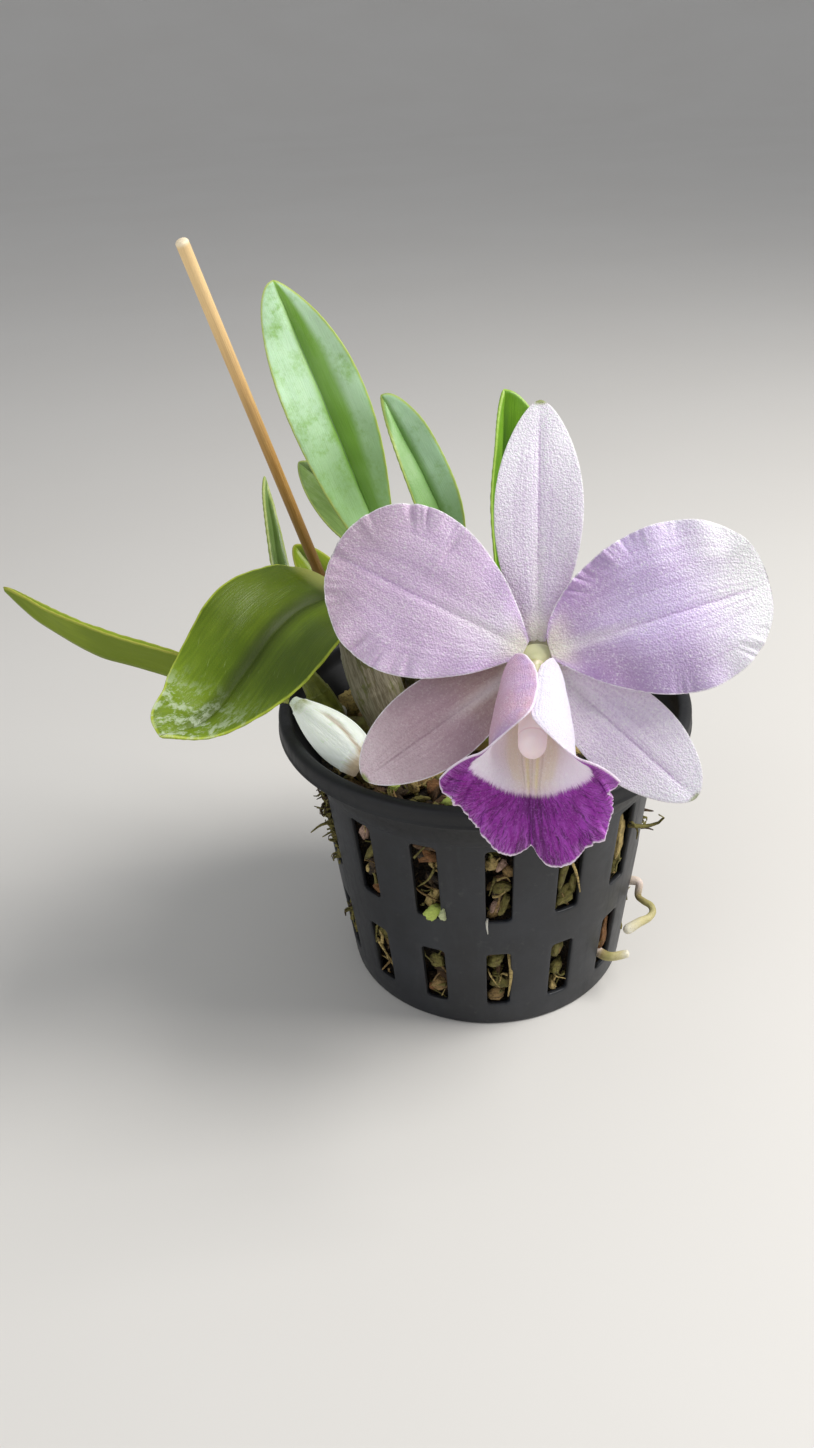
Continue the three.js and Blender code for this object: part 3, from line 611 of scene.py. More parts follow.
@dataclass(frozen=True)
class LeafFinish:
    """Leathery leaf skin with long fine veins, a pale margin and a thin waxy coat, with painted shade along
    the rib and on one half, and painted highlights.
    """

    tone: LeafTone

    def material(self) -> Material:
        """Makes the material."""
        look = self.tone.value
        g = Graph(f"leaf_{self.tone.name.lower()}")
        at = g.place()
        t, s, x, y, margin, upper = g.marks(*BLADE_MARKS)
        cloud, speck = g.noise(at, 0.05, 2), g.noise(at, 1.1, 3)
        grain = g.noise(g.spot(x * 0.1, y * 1.3), 1.0, 3)
        rib = g.step(abs(y), 0.5, 0.1) * g.step(t, 1.0, 0.85)
        haze = g.noise(at, 0.14, 4, 0.6) + 0.5 * (g.noise(at, 0.8, 4, 0.7) - 0.5)
        # The pale waxy coat is partly painted light: the left half is painted paler and a painted highlight
        # runs down the right half.
        upward = 0.4 + 0.6 * g.step(t, 0.3, 0.7)
        left = look.left_bloom_and_light * upward * g.step(s, -0.03, -0.2) * g.step(haze, 0.16, 0.6)
        right = look.right_bloom_and_highlight * upward * g.step(s, look.start, look.start + 0.26) * g.step(s, 1.02, 0.9)
        right = right * g.step(haze, 0.12, 0.58)
        # A painted shadow along the rib, as strong as hollow; hollow also takes the pale rib line away.
        rib_furrow_shadow = look.hollow * g.step(abs(y), 5.0, 0.6) * g.step(t, 0.95, 0.45)
        patch = g.noise(g.spot(x * 0.16, y * 0.3, 4.0), 1.6, 5, 0.75)
        worn = look.wear * g.step(patch, 0.47, 0.62) * g.step(t, 0.62, 0.88) * upper
        scratch = g.noise(g.spot(x * 0.3 + y * 0.9, y * 0.12 - x * 0.04, 2.0), 1.1, 5, 0.8)
        base = g.coats(
            g.mix(g.step(cloud + 0.4 * (grain - 0.5), 0.32, 0.72), look.deep, look.light),
            # painted shade: a darker band in the channel beside the rib, and one half darker near the foot
            (0.6 * g.step(y, -1.2, 1.0) * g.step(y, 5.0, 1.6) * g.step(t, 1.0, 0.8), look.painted_shade),
            (look.shaded_half * g.step(y, 0.8, -1.2) * g.step(t, 0.95, 0.5), look.painted_shade),
            ((left + right) * upper, look.bloom_and_highlight),
            (0.35 * rib * (1 - look.hollow), look.bloom_and_highlight),
            # the painted shadow along the rib, and painted shade on the upper half near the foot
            (rib_furrow_shadow, 0x2b3804),
            (0.75 * look.hollow * g.step(t, 0.66, 0.3) * g.step(s, -0.2, 0.2), 0x344004),
            ((1 - upper) * 0.4, 0x7c8c2c),
            (0.6 * g.step(t, 0.12, 0.0), 0xb5b56a),
            (0.85 * g.step(margin + 0.2 * (speck - 0.5), 0.7, 0.2), look.edge),
            (0.7 * worn, 0xc6d2bc),
            (look.wear * 0.35 * g.step(scratch, 0.62, 0.68) * g.step(t, 0.3, 0.75) * upper, 0xc2cf9c))
        relief = g.relief((g.noise(g.spot(x * 0.25, y * 3.2), 1.0, 2), 0.07), (g.noise(at, 2.4, 3), 0.04))
        rough = 0.32 + 0.14 * (g.noise(at, 0.22, 3) - 0.5) + 0.14 * (1 - upper)
        return g.finish(base, rough + 0.12 * worn + 0.35 * rib_furrow_shadow, relief, (0.08, (0.4, 0.8, 0.2), 0.002),
                        Specular_IOR_Level=0.28)


@dataclass(frozen=True)
class Leaf:
    """One thick leaf on top of its pseudobulb."""

    name: str
    rib: Sequence[Point]
    face: tuple[Point, Point]
    fold: Pair
    wave: float
    left: Half
    right: Half
    tone: LeafTone
    slot: str
    waves: float = 2.5
    thickness: float = 1.4
    edge_round: float = 1.2
    channel: float = 0.45
    channel_width: float = 0.9
    keel_width: float = 3.5
    foot: float = 1.7
    foot_height: float = 2.2
    rows: int = 110
    columns: int = 49

    def shape(self, seed: int) -> Shape:
        """Models the leaf with its channel, keel and gentle buckling."""
        blade = Blade(Path.through(self.rib), self.face, self.left, self.right, self.fold,
                      (self.wave, self.waves), foot=self.foot)
        marks = blade.marks(self.rows, self.columns)
        t, _, x, y, margin = marks.values()
        grain = Grain(seed)
        calm = smooth(0, 0.15, t) * smooth(1, 0.9, t)
        lift = calm * (0.45 * grain.at(x / 13, y / 8, layers=2) + 0.12 * grain.at(x / 5, y / 3.5, 5.0))
        lift -= self.channel * bell(y, self.channel_width) * smooth(0, 0.1, t) * smooth(1, 0.85, t)
        keel = 0.45 * bell(y, self.keel_width)
        body = self.thickness * (0.55 + keel) * rounded(margin, self.edge_round)
        foot = self.foot_height * (1 - smooth(0, 0.1, t))
        body = np.maximum(body, 0.06) * smooth(1.0, 0.985, t) ** 0.5 + foot
        return blade.solid(marks, lift, np.maximum(body, 0.05))


LEAVES = (
    Leaf("leaf_tall", ((-20, 9.9, 113.8), (-27.5, 14.6, 132.5), (-38.4, 20.2, 163.7), (-49.2, 29.4, 192.4)),
         ((0.15, -0.97, 0.25), (0.05, -0.94, 0.35)), (26, 12), 0.5, Half(11.1, 1.3, 0.46),
         Half(11.6, 1.42, 0.75), LeafTone.BLUE_GREEN, "leaf_blue_green"),
    Leaf("leaf_middle", ((-7.4, 2, 116.1), (-9.1, 0.1, 136.2), (-23.5, 11.6, 166.9)),
         ((0.17, -0.97, 0.2), (0.21, -0.92, 0.34)), (34, 24), 0.4, Half(7.3, 0.6, 0.67),
         Half(7.3, 1.68, 0.45), LeafTone.MINT, "leaf_blue_green"),
    Leaf("leaf_back", ((-24, 25.6, 100.5), (-31, 47.9, 120), (-50, 61.1, 134.6)),
         ((0.18, -0.86, 0.47), (0, -0.9, 0.44)), (20, 12), 0.3, Half(10, 1.33, 0.76), Half(8.8, 0.9, 0.6),
         LeafTone.OLIVE, "leaf_blue_green"),
    Leaf("leaf_small", ((-36.4, 24.5, 99.2), (-44.4, 30.4, 110.4), (-51.5, 36, 118.2)),
         ((0.1, -0.8, 0.6), (0, -0.8, 0.6)), (20, 12), 0.2, Half(6, 0.85, 0.6), Half(6.4, 0.85, 0.6),
         LeafTone.YOUNG, "leaf_young_green", rows=80),
    Leaf("leaf_narrow", ((-49.5, 3.7, 95.4), (-55, 21.2, 116.9), (-58.5, 42.7, 137.1)),
         ((0.65, -0.61, 0.45), (0.56, -0.64, 0.53)), (30, 24), 0.2, Half(3.3, 1.22, 0.57),
         Half(3.3, 0.7, 0.68), LeafTone.OLIVE, "leaf_blue_green", columns=41),
    Leaf("leaf_young", ((5, -10.4, 106.6), (5, 1.4, 135), (7.8, 15.5, 165.6)),
         ((0.5, -0.83, 0.25), (0.5, -0.83, 0.25)), (38, 30), 0.3, Half(5.4, 1.1, 0.62), Half(13, 1.3, 0.5),
         LeafTone.FRESH, "leaf_young_green"),
    Leaf("leaf_broad", ((-37.3, 1.2, 118), (-41.2, -5.8, 119.4), (-51.5, -19.2, 118.8),
                        (-69.2, -40.9, 105.7), (-78.5, -51.5, 108.3)),
         ((-0.22, -0.51, 0.83), (-0.22, -0.58, 0.78)), (20, 16), 0.5, Half(22, 0.68, 1.0),
         Half(18.6, 0.73, 0.35), LeafTone.GREEN, "leaf_green", rows=120, columns=61),
    Leaf("leaf_left", ((-52.4, -11.1, 94.1), (-66.8, -10.1, 97.2), (-85, -7.6, 101.7),
                       (-105.1, -2.6, 108.4), (-116.6, 2.1, 113.4), (-127.7, 7.9, 122.1)),
         ((0.1, 0.5, 0.86), (0.1, 0.5, 0.86)), (44, 40), 0.2, Half(8.8, 0.85, 0.62), Half(9.1, 0.85, 0.62),
         LeafTone.YOUNG, "leaf_young_green"),
)


@dataclass(frozen=True)
class Foliage:
    """All leaves of the plant."""

    leaves: Sequence[Leaf] = LEAVES

    def build(self) -> None:
        """Builds each leaf and dresses it in the skin of its tone."""
        skins = {tone: LeafFinish(tone).material() for tone in LeafTone}
        for seed, leaf in enumerate(self.leaves):
            leaf.shape(seed).build(leaf.name + "_blade", skins[leaf.tone], leaf.slot, leaf.name)


# Flower


@dataclass(frozen=True)
class FlowerPlace:
    """The flower's own frame: x to its right, y up the middle sepal and z out of its face."""

    centre: Point = (9, -46.2, 121.5)
    turn: float = -7.5
    tilt: float = 27.9

    def world(self, points: Array) -> Array:
        """Points of the flower's frame in the part's frame."""
        turn, tilt = math.radians(self.turn), math.radians(self.tilt)
        right = np.array([math.cos(turn), math.sin(turn), 0.0])
        out = np.array([math.sin(turn) * math.cos(tilt), -math.cos(turn) * math.cos(tilt), math.sin(tilt)])
        return np.array(self.centre) + points @ np.stack([right, np.cross(out, right), out])

    def put(self, shape: Shape) -> Shape:
        """A shape of the flower's frame in the part's frame."""
        return Shape(self.world(shape.points), shape.faces, shape.marks)


@dataclass(frozen=True)
class Crimp:
    """Fine pleats that run in from a margin, strong over a spread of the degrees round the blade."""

    middle: float
    spread: float
    depth: float
    reach: float = 4.0
    pitch: float = 2.6


@dataclass(frozen=True)
class TepalFinish:
    """Glistening petal skin: its colours from foot to tip, and how strongly its details show, with painted
    glints and, on some blades, painted shade.
    """

    name: str
    foot: int
    body: int
    tip: int
    flush: int = 0xc09dcc
    rib: int = 0xa27fb2
    vein: float = 0.22
    hook: float = 0.0
    painted_glint: float = 0.42
    shaded_flank: float = 0.0

    def material(self) -> Material:
        """Makes the material."""
        g = Graph(self.name)
        at = g.place()
        t, s, x, y, margin, upper = g.marks(*BLADE_MARKS)
        cloud, glitter = g.noise(at, 0.09, 3), g.noise(at, 1.7, 3, 0.75)
        side, off = abs(s), abs(y)
        fan = g.noise(g.spot(s * 16.0, t * 0.9, 2.0), 1.0, 3, 0.6)
        line = abs(y + 0.5 * (g.noise(g.spot(x * 0.2, 0.0), 1.0) - 0.5))
        # painted glints: white specks where the crystalline skin catches light
        painted_glint = g.step(glitter, 0.52, 0.68)
        base = g.coats(
            g.mix(g.step(t + 0.3 * (cloud - 0.5), 0.08, 0.5), self.foot, self.body),
            (g.step(t + 0.3 * (cloud - 0.5), 0.5, 0.98), self.tip),
            (0.7 * (g.step(t, 0.55, 0.1) * g.step(side, 0.3, 0.85)), self.flush),
            # painted shade on one flank, between foot and tip
            (self.shaded_flank * (g.step(s, 0.15, 0.6) * g.step(t, 0.1, 0.3) * g.step(t, 0.85, 0.55)), 0x8c7494),
            (self.vein * g.step(fan, 0.44, 0.62) * g.step(margin, 0.5, 6.0), self.rib),
            (0.5 * g.step(line, 0.5, 0.05) * g.step(t, 0.12, 0.35) * g.step(t, 0.99, 0.8), self.rib),
            (0.55 * (g.step(off, 2.6, 0.4) * g.step(t, 0.6, 0.15)), 0xe9e4e6),
            (0.65 * (g.step(t, 0.16, 0.02) * g.step(side, 1.1, 0.5)), 0xf0ecd4),
            (self.painted_glint * painted_glint, 0xffffff),
            (0.26 * g.step(glitter, 0.48, 0.34), self.rib),
            (0.8 * g.step(margin, 0.42, 0.1), 0xf8f2f8),
            ((1 - upper) * 0.3, 0xe6d3dc),
            (self.hook * (g.step(t, 0.968, 0.99) * g.step(off, 2.2, 0.7)), 0x8c9a48))
        relief = g.relief((g.cells(at, 2.2), 0.16), (g.noise(g.spot(s * 30.0, t * 3.0), 1.0, 2), 0.1))
        return g.finish(base, 0.5 - 0.16 * painted_glint + 0.1 * (cloud - 0.5), relief,
                        (0.3, (1.0, 0.75, 1.0), 0.0014), Sheen_Weight=0.1, Sheen_Roughness=0.4)


@dataclass(frozen=True)
class Tepal:
    """A petal or sepal, laid out from the flower's centre."""

    name: str
    slot: str
    skin: TepalFinish
    angle: float
    length: float
    left: Half
    right: Half
    rise: tuple[float, float, float]
    fold: float
    cup: float
    wave: Pair
    crimps: tuple[Crimp, ...] = ()
    swell: float = 0.5
    claw: float = 3.1
    thickness: float = 0.34
    edge_round: float = 0.7
    channel: float = 0.22
    channel_width: float = 1.1
    keel: float = 0.3
    keel_width: float = 3.0
    foot: float = 2.0
    foot_height: float = 0.9
    rows: int = 120
    columns: int = 85

    def shape(self, place: FlowerPlace, seed: int) -> Shape:
        """Models the blade with its swells, rib channel and crimped margin."""
        direction = np.array([math.cos(math.radians(self.angle)), math.sin(math.radians(self.angle)), 0.0])
        stops = [direction * (self.claw + self.length * k / 2) + (0, 0, self.rise[k]) for k in range(3)]
        blade = Blade(Path.through(stops), ((0, 0, 1), (0, 0, 1)), self.left, self.right,
                      (self.fold, self.fold), self.wave, self.cup, self.foot, foot_share=0.1)
        marks = blade.marks(self.rows, self.columns)
        t, _, x, y, margin = marks.values()
        grain = Grain(seed)
        calm = smooth(0, 0.2, t)
        lift = self.swell * calm * grain.at(x / 14, y / 10, layers=2)
        lift -= self.channel * bell(y, self.channel_width) * calm * smooth(1.0, 0.7, t)
        round_about = np.degrees(np.arctan2(y, x - 0.55 * self.length))
        for crimp in self.crimps:
            away = (round_about - crimp.middle + 180) % 360 - 180
            here = bell(away, crimp.spread) * bell(margin, crimp.reach)
            here = here * smooth(-0.6, 0.2, grain.at(round_about / 13, 9.0))
            lift += crimp.depth * here * grain.at(round_about / crimp.pitch, margin / 9, 3.0, layers=2)
        body = (self.thickness + self.keel * bell(y, self.keel_width)) * rounded(margin, self.edge_round)
        body = np.maximum(body, 0.05) + self.foot_height * (1 - smooth(0, 0.12, t))
        return place.put(blade.solid(marks, lift, body))


TEPALS = (
    Tepal("dorsal_sepal", "sepal",
          TepalFinish("dorsal_skin", 0xd9c9e2, 0xe8def0, 0xf4effb, 0xc8b2d0, hook=0.9),
          90, 55.2, Half(10.3, 1.08, 0.62), Half(10.2, 1.12, 0.62), (-2.3, -1.2, -4.5),
          8, -0.6, (0.15, 3), swell=0.35, columns=61),
    # The left lateral sepal's colours are darker and warmer: painted shadow cast by the petal above it.
    Tepal("left_lateral_sepal", "sepal",
          TepalFinish("left_lateral_skin", 0xb49d92, 0xb0969f, 0xdbc7cf, 0xa58a8c, 0x8f6f7c, hook=0.9,
                      painted_glint=0.16),
          216.3, 47.2, Half(9.8, 1.1, 0.62), Half(11.5, 1.1, 0.5), (-2.5, -1.8, -4.5),
          10, -0.8, (0.2, 3), swell=0.35, columns=61),
    # The right lateral sepal's colours are lightened, painted light over the shade it lies in under the
    # petal.
    Tepal("right_lateral_sepal", "sepal",
          TepalFinish("right_lateral_skin", 0xfff0ff, 0xf0e2fa, 0xf2eefc, 0xf0ddf6, vein=0.16, hook=0.7,
                      painted_glint=0.6),
          318.3, 45.8, Half(11, 1.15, 0.5), Half(10.2, 1.1, 0.6), (-2.5, -1.8, -3),
          8, -0.6, (0.2, 3), swell=0.35, columns=61),
    # The left petal's tip is coloured a darker mauve, painted shade.
    Tepal("left_petal", "petal", TepalFinish("left_petal_skin", 0xf0e2f8, 0xdcc3e3, 0xc8b0c4, 0xd6b2ea),
          153.8, 49.4, Half(19.4, 1.33, 0.51), Half(19.2, 1.43, 0.46), (0.7, 4.6, 1.5),
          5, -1.5, (0.5, 5), (Crimp(60, 36, 0.9), Crimp(100, 12, 1.4, 9, 5.0), Crimp(-75, 45, 1.0, 4.5),
                              Crimp(-10, 42, 0.9, 5, 7.0)), rows=170, columns=131),
    # The right petal's tip is coloured near white, painted light, and one flank is darkened, painted shade.
    Tepal("right_petal", "petal",
          TepalFinish("right_petal_skin", 0xc0a8c8, 0xd8c6f0, 0xfcfaff, 0xc6a2da, shaded_flank=0.5),
          17.4, 50.4, Half(20.2, 1.26, 0.37), Half(18.4, 1.4, 0.47), (0.7, 4.2, 1),
          5, -1.5, (0.5, 5), (Crimp(-125, 40, 0.9, 3.5), Crimp(60, 36, 1.1), Crimp(-10, 50, 0.6, 6, 9.0)),
          rows=170, columns=131),
)


@dataclass(frozen=True)
class LipFinish:
    """The lip's skin: pale side lobes, a cream throat with pale keels and a veined purple front lobe, with
    painted glints and highlights, painted shade on the left lobe and a faint light of its own.
    """

    def material(self) -> Material:
        """Makes the material."""
        g = Graph("lip_skin")
        at = g.place()
        v, fan, inside, margin = g.marks("turn", "fan", "upper", "margin")
        side = abs(v)
        cloud, glitter = g.noise(at, 0.16, 3), g.noise(at, 1.8, 3, 0.75)
        # painted glints: bright specks where the crystalline skin catches light
        painted_glint = g.step(glitter, 0.52, 0.68)
        ray = g.noise(g.spot(v * 60.0, fan * 1.6), 1.0, 4, 0.75)
        base = g.mix(inside, self.lobe(g, v, cloud), self.throat(g, side, fan, ray))
        purple, vein, thread = self.purple(g, at, (v, fan, side, margin), cloud)
        purple = g.coats(purple, (0.28 * painted_glint, 0xc97fdc), ((1 - inside) * 0.6, 0xc79ad0))
        border = (0.27 + 0.22 * side * side) * g.step(side, 1.0, 0.84)
        fringe = g.step(fan - border + 0.22 * (ray - 0.5) + 0.08 * (glitter - 0.5), -0.045, 0.06)
        rim = g.step(margin + 0.9 * (thread - 0.5), 0.85, 0.15)
        base = g.coats(base, (fringe, purple), (0.3 * painted_glint * (1 - fringe), 0xffffff),
                       (0.85 * rim, 0xf6ebf7))
        relief = g.relief((g.cells(at, 2.4), 0.14), (vein, 0.3))
        # The lip gives a faint light of its own, painted light.
        return g.finish(base, 0.48 - 0.12 * painted_glint, relief, (0.25, (1.0, 0.7, 0.9), 0.0012), (base, 0.06),
                        Specular_IOR_Level=0.35)

    def lobe(self, g: Graph, v: Value, cloud: Value) -> Value:
        """Colour of the side lobes' outer face: the left lobe is pinker and darker, partly its own flush and
        partly painted shade.
        """
        return g.coats(g.mix(g.step(v, 0.12, -0.3), 0xdcd8e6, 0xceaabb),
                       (0.6 * (g.step(v, -0.62, -0.95) * g.step(cloud, 0.3, 0.6)), 0xb59bd0),
                       (0.3 * g.step(cloud, 0.5, 0.75), 0xd8c2da))

    def throat(self, g: Graph, side: Value, fan: Value, ray: Value) -> Value:
        """Colour of the throat, with its keels and fine lines."""
        line = g.step(abs(side - 0.085), 0.014, 0.0) + g.step(side, 0.012, 0.0)
        wing = g.step(abs(side - 0.17), 0.1, 0.02) * g.step(fan, 0.12, 0.0)
        return g.coats(g.mix(g.step(side, 0.0, 0.45), 0xeddfd2, 0xf6eaf8),
                       (0.8 * g.step(abs(side - 0.045), 0.03, 0.0), 0xefe4b4), (0.3 * line, 0xb3a184),
                       (0.4 * wing, 0xefe2c0), (0.25 * g.step(ray, 0.5, 0.7), 0xcdb4cf),
                       (0.4 * g.step(fan - 0.08 - 0.2 * side, 0.0, 0.16), 0xddbfe2))

    def purple(self, g: Graph, at: Value, marks: tuple[Value, ...],
               cloud: Value) -> tuple[Value, Value, Value]:
        """Colours the front lobe.

        Args:
            g: the material's graph.
            at: where the surface is.
            marks: the marks turn, fan, side and margin.
            cloud: the noise of its large clouds.

        Returns:
            Its colour, the noise of its veins and the noise of its fine threads.
        """
        v, fan, side, margin = marks
        bend = g.noise(at, 0.4, 3)
        spread = v / (0.3 + 0.7 * fan)
        vein = g.noise(g.spot(spread * 17.0 + 1.4 * bend, fan * 1.1), 1.0, 3, 0.5)
        branch = g.noise(g.spot(spread * 34.0 + 2.2 * bend, fan * 2.0, 7.0), 1.0, 2, 0.5)
        thread = g.noise(g.spot(spread * 70.0, fan * 7.0, 3.0), 1.0, 3, 0.6)
        mottle = g.noise(g.spot(v * 9.0, fan * 3.0, 11.0), 1.0, 4, 0.65)
        # painted highlight: brighter magenta patches on the right of the front lobe where it catches light;
        # the base colour also turns lighter towards the right, painted light
        painted_light = g.step(g.noise(g.spot(v * 7.0, fan * 2.0, 5.0), 1.0, 2), 0.42, 0.6)
        dark = g.step(abs(vein - 0.5), 0.03, 0.004) + g.step(abs(branch - 0.5), 0.02, 0.0)
        purple = g.coats(g.mix(g.step(cloud + 0.2 * v, 0.3, 0.7), 0x8a1e90, 0x9a2fa6),
                         (0.45 * g.step(thread, 0.5, 0.66), 0xb04cc0),
                         (0.6 * (g.step(v, 0.25, 0.55) * g.step(fan, 0.5, 0.8) * painted_light), 0xb74ccf),
                         (0.5 * g.step(mottle, 0.5, 0.34), 0x641069),
                         (0.5 * g.step(mottle, 0.5, 0.64), 0xb95ac9),
                         (0.5 * g.step(margin, 5.0, 0.5) * g.step(thread, 0.42, 0.6), 0xc98ad4),
                         (0.75 * g.step(side, 0.2, 0.03) * g.step(branch, 0.3, 0.6), 0x4f0c53),
                         (0.62 * dark, 0x4c0b52))
        return purple, vein, thread


@dataclass(frozen=True)
class Lip:
    """The lip: side lobes rolled round the column into a tube, which opens into a frilled front lobe."""

    thickness: float = 0.5
    foot: Point = (-0.75, -0.76, 0.39)
    slope: float = 37.9
    tube_length: float = 27.1
    radii: tuple[float, ...] = (3.7, 5.9, 6.85, 7.35, 7.95, 8.4, 8.9, 9.2, 9.5)
    overlap: float = 0.6
    wrap_left: tuple[float, ...] = (100, 160, 179, 186.5, 188, 185.5, 181, 169, 104)
    wrap_right: tuple[float, ...] = (95, 142, 166, 174, 177, 180, 183, 166, 122)
    reach_right: float = 0.1
    fan_centre: Pair = (0, -26)
    fan_half_angle: float = 87
    fan_edge: tuple[Pair, ...] = (
        (-1.0, 20.9), (-0.903, 21.2), (-0.854, 19.3), (-0.654, 17.6), (-0.512, 17.9), (-0.383, 18.9),
        (-0.232, 20.05), (-0.151, 19.6), (-0.057, 17.3), (-0.031, 16.5), (-0.001, 17.2), (0.08, 20.8),
        (0.162, 22.4), (0.262, 21.6), (0.377, 20.5), (0.468, 20.1), (0.525, 21.3), (0.575, 20.2),
        (0.68, 19.2), (0.77, 18.6), (0.845, 16.9), (0.911, 16.1), (0.943, 17.6), (1.0, 18.3))
    fan_z: Pair = (8.5, 15.5)
    flare: tuple[float, float, float] = (6, 1, 6.5)
    frill: Pair = (0.7, 9)
    tube_rows: int = 70
    fan_rows: int = 80
    blend_rows: int = 9
    blend_passes: int = 60
    keel_place: float = 0.045
    keel_spread: float = 0.022
    keel_height: float = 0.6
    edge_round: float = 0.6
    thinnest: float = 0.05
    columns: int = 221

    def axis(self) -> tuple[Array, Array]:
        """The tube's axis, and the direction across it towards the flower's face."""
        slope = math.radians(self.slope)
        return (np.array([0, -math.cos(slope), math.sin(slope)]),
                np.array([0, math.sin(slope), math.cos(slope)]))

    def tube(self, t: Array, v: Array, grain: Grain) -> Array:
        """Points of the tube at shares of its length, v running round it from -1 at the left edge to 1."""
        axis, up = self.axis()
        angle = v * np.radians(np.where(v > 0, along(self.wrap_right, t), along(self.wrap_left, t)))
        crimp = 0.22 * smooth(0.75, 1, np.abs(v)) * grain.at(t * 34, v * 3, 6.0)
        radius = along(self.radii, t) + crimp + np.where(v > 0, -1, 1) * self.overlap * (angle / np.pi) ** 2
        onward = t * self.tube_length * (1 + self.reach_right * smooth(0.3, 1, v) * smooth(0.55, 1, t))
        return (np.array(self.foot) + axis * onward[..., None]
                + np.array([1.0, 0, 0]) * (radius * np.sin(angle))[..., None]
                - up * (radius * np.cos(angle))[..., None])

    def reach(self, v: Array) -> Array:
        """The front lobe's reach from its centre, softened between its corners."""
        places, values = np.array(self.fan_edge).T
        return sum(np.interp(v + shift, places, values) for shift in (-0.014, 0, 0.014)) / 3

    def fan(self, share: Array, v: Array, grain: Grain) -> Array:
        """Points of the front lobe, from the tube's mouth to the frilled margin."""
        axis, _ = self.axis()
        start = self.tube(np.ones_like(v), v, grain)
        onward = self.flare[0] + (self.flare[1] - self.flare[0]) * np.abs(v)
        bend = start + axis * onward[..., None]
        bend[..., 0] += self.flare[2] * v * np.abs(v)
        angle = np.radians(self.fan_half_angle * v)
        nibble = 0.3 * grain.at(v * 36, 1.5) + 0.22 * grain.at(v * 90, 4.5)
        corner = smooth(0.68, 0.82, np.abs(v)) * smooth(1.0, 0.94, np.abs(v))
        nibble = nibble * (1 + 0.9 * corner) + 0.45 * corner * np.sin(62 * v)
        reach = self.reach(v) + nibble * smooth(0.0, 0.2, 1 - np.abs(v))
        height = self.fan_z[0] + (self.fan_z[1] - self.fan_z[0]) * v * v
        to_side, down = reach * np.sin(angle), reach * np.cos(angle)
        end = np.stack([self.fan_centre[0] + to_side, self.fan_centre[1] - down, height], axis=-1)
        f = share[..., None]
        points = (1 - f) ** 2 * start + 2 * f * (1 - f) * bend + f * f * end
        frill = self.frill[0] * share**4 * np.sin(np.pi * self.frill[1] * v)
        ruffle = 0.8 * share**5 * grain.at(v * 24, 8.0, layers=2)
        ruffle = ruffle + 1.5 * corner * share**3 * np.sin(44 * v)
        furrow = 0.3 * smooth(0, 0.5, share) * grain.at(v * 34, share * 1.5, 2.0)
        points[..., 2] += frill + ruffle + furrow
        return points

    def shape(self, place: FlowerPlace) -> Shape:
        """Models the lip as one closed sheet."""
        grain = Grain(LIP_SEED)
        even = np.linspace(-1, 1, self.columns)
        v_line = 0.7 * even + 0.3 * np.sin(np.pi / 2 * even)
        t, v = np.meshgrid(np.linspace(0, 1, self.tube_rows), v_line, indexing="ij")
        f, w = np.meshgrid(np.linspace(0, 1, self.fan_rows)[1:] ** 0.9, v_line, indexing="ij")
        tube, fan = self.tube(t, v, grain), self.fan(f, w, grain)
        points = np.concatenate([tube, fan])
        near = bell(np.arange(len(points)) - self.tube_rows, self.blend_rows)[1:-1, None, None]
        for _ in range(self.blend_passes):
            points[1:-1] += near * ((points[:-2] + points[2:]) / 2 - points[1:-1])
        share = np.concatenate([np.zeros_like(t), f])
        turn = np.concatenate([v, w])
        to_side = np.linalg.norm(np.diff(points, axis=1), axis=-1)
        from_left = np.concatenate([np.zeros((len(points), 1)), np.cumsum(to_side, axis=1)], axis=1)
        from_side = np.minimum(from_left, from_left[:, -1:] - from_left)
        end = np.linalg.norm(points - points[-1:], axis=-1)
        margin = np.where(share > 0, np.minimum(from_side, end), from_side)
        body = np.maximum(self.thickness * rounded(margin, self.edge_round), self.thinnest)
        keels = bell(np.abs(turn) - self.keel_place, self.keel_spread) * smooth(0.5, 0.1, share)
        body = body + self.keel_height * keels * smooth(0.2, 0.5, np.concatenate([t, np.ones_like(w)]))
        return place.put(sheet(points[:, ::-1], body[:, ::-1],
                               {"turn": turn[:, ::-1], "fan": share[:, ::-1], "margin": margin[:, ::-1]}))


@dataclass(frozen=True)
class ColumnFinish:
    """Waxy cream skin with a pink tinge, for the column and its anther cap, giving a faint light of its own,
    painted light.
    """

    def material(self) -> Material:
        """Makes the material."""
        g = Graph("column_wax")
        at = g.place()
        t, = g.marks("along")
        base = g.coats(
            g.ramp(t, (0.0, 0x9c9e6c), (0.13, 0xb5b286), (0.45, 0xf3e6d2), (0.8, 0xfbebe8),
                   (1.0, 0xf5e0e4)),
            (0.4 * g.step(g.noise(at, 0.5, 3), 0.4, 0.7), 0xf1e4dc),
            (0.25 * g.step(abs(t - 0.8), 0.012, 0.003), 0xb98e9a))
        # the base colour also lights the surface faintly, painted light
        return g.finish(base, 0.36, g.relief((g.noise(at, 2.0, 2), 0.05)), (0.4, (1.0, 0.6, 0.5), 0.002),
                        (base, 0.1), Coat_Weight=0.2, Coat_Roughness=0.2)


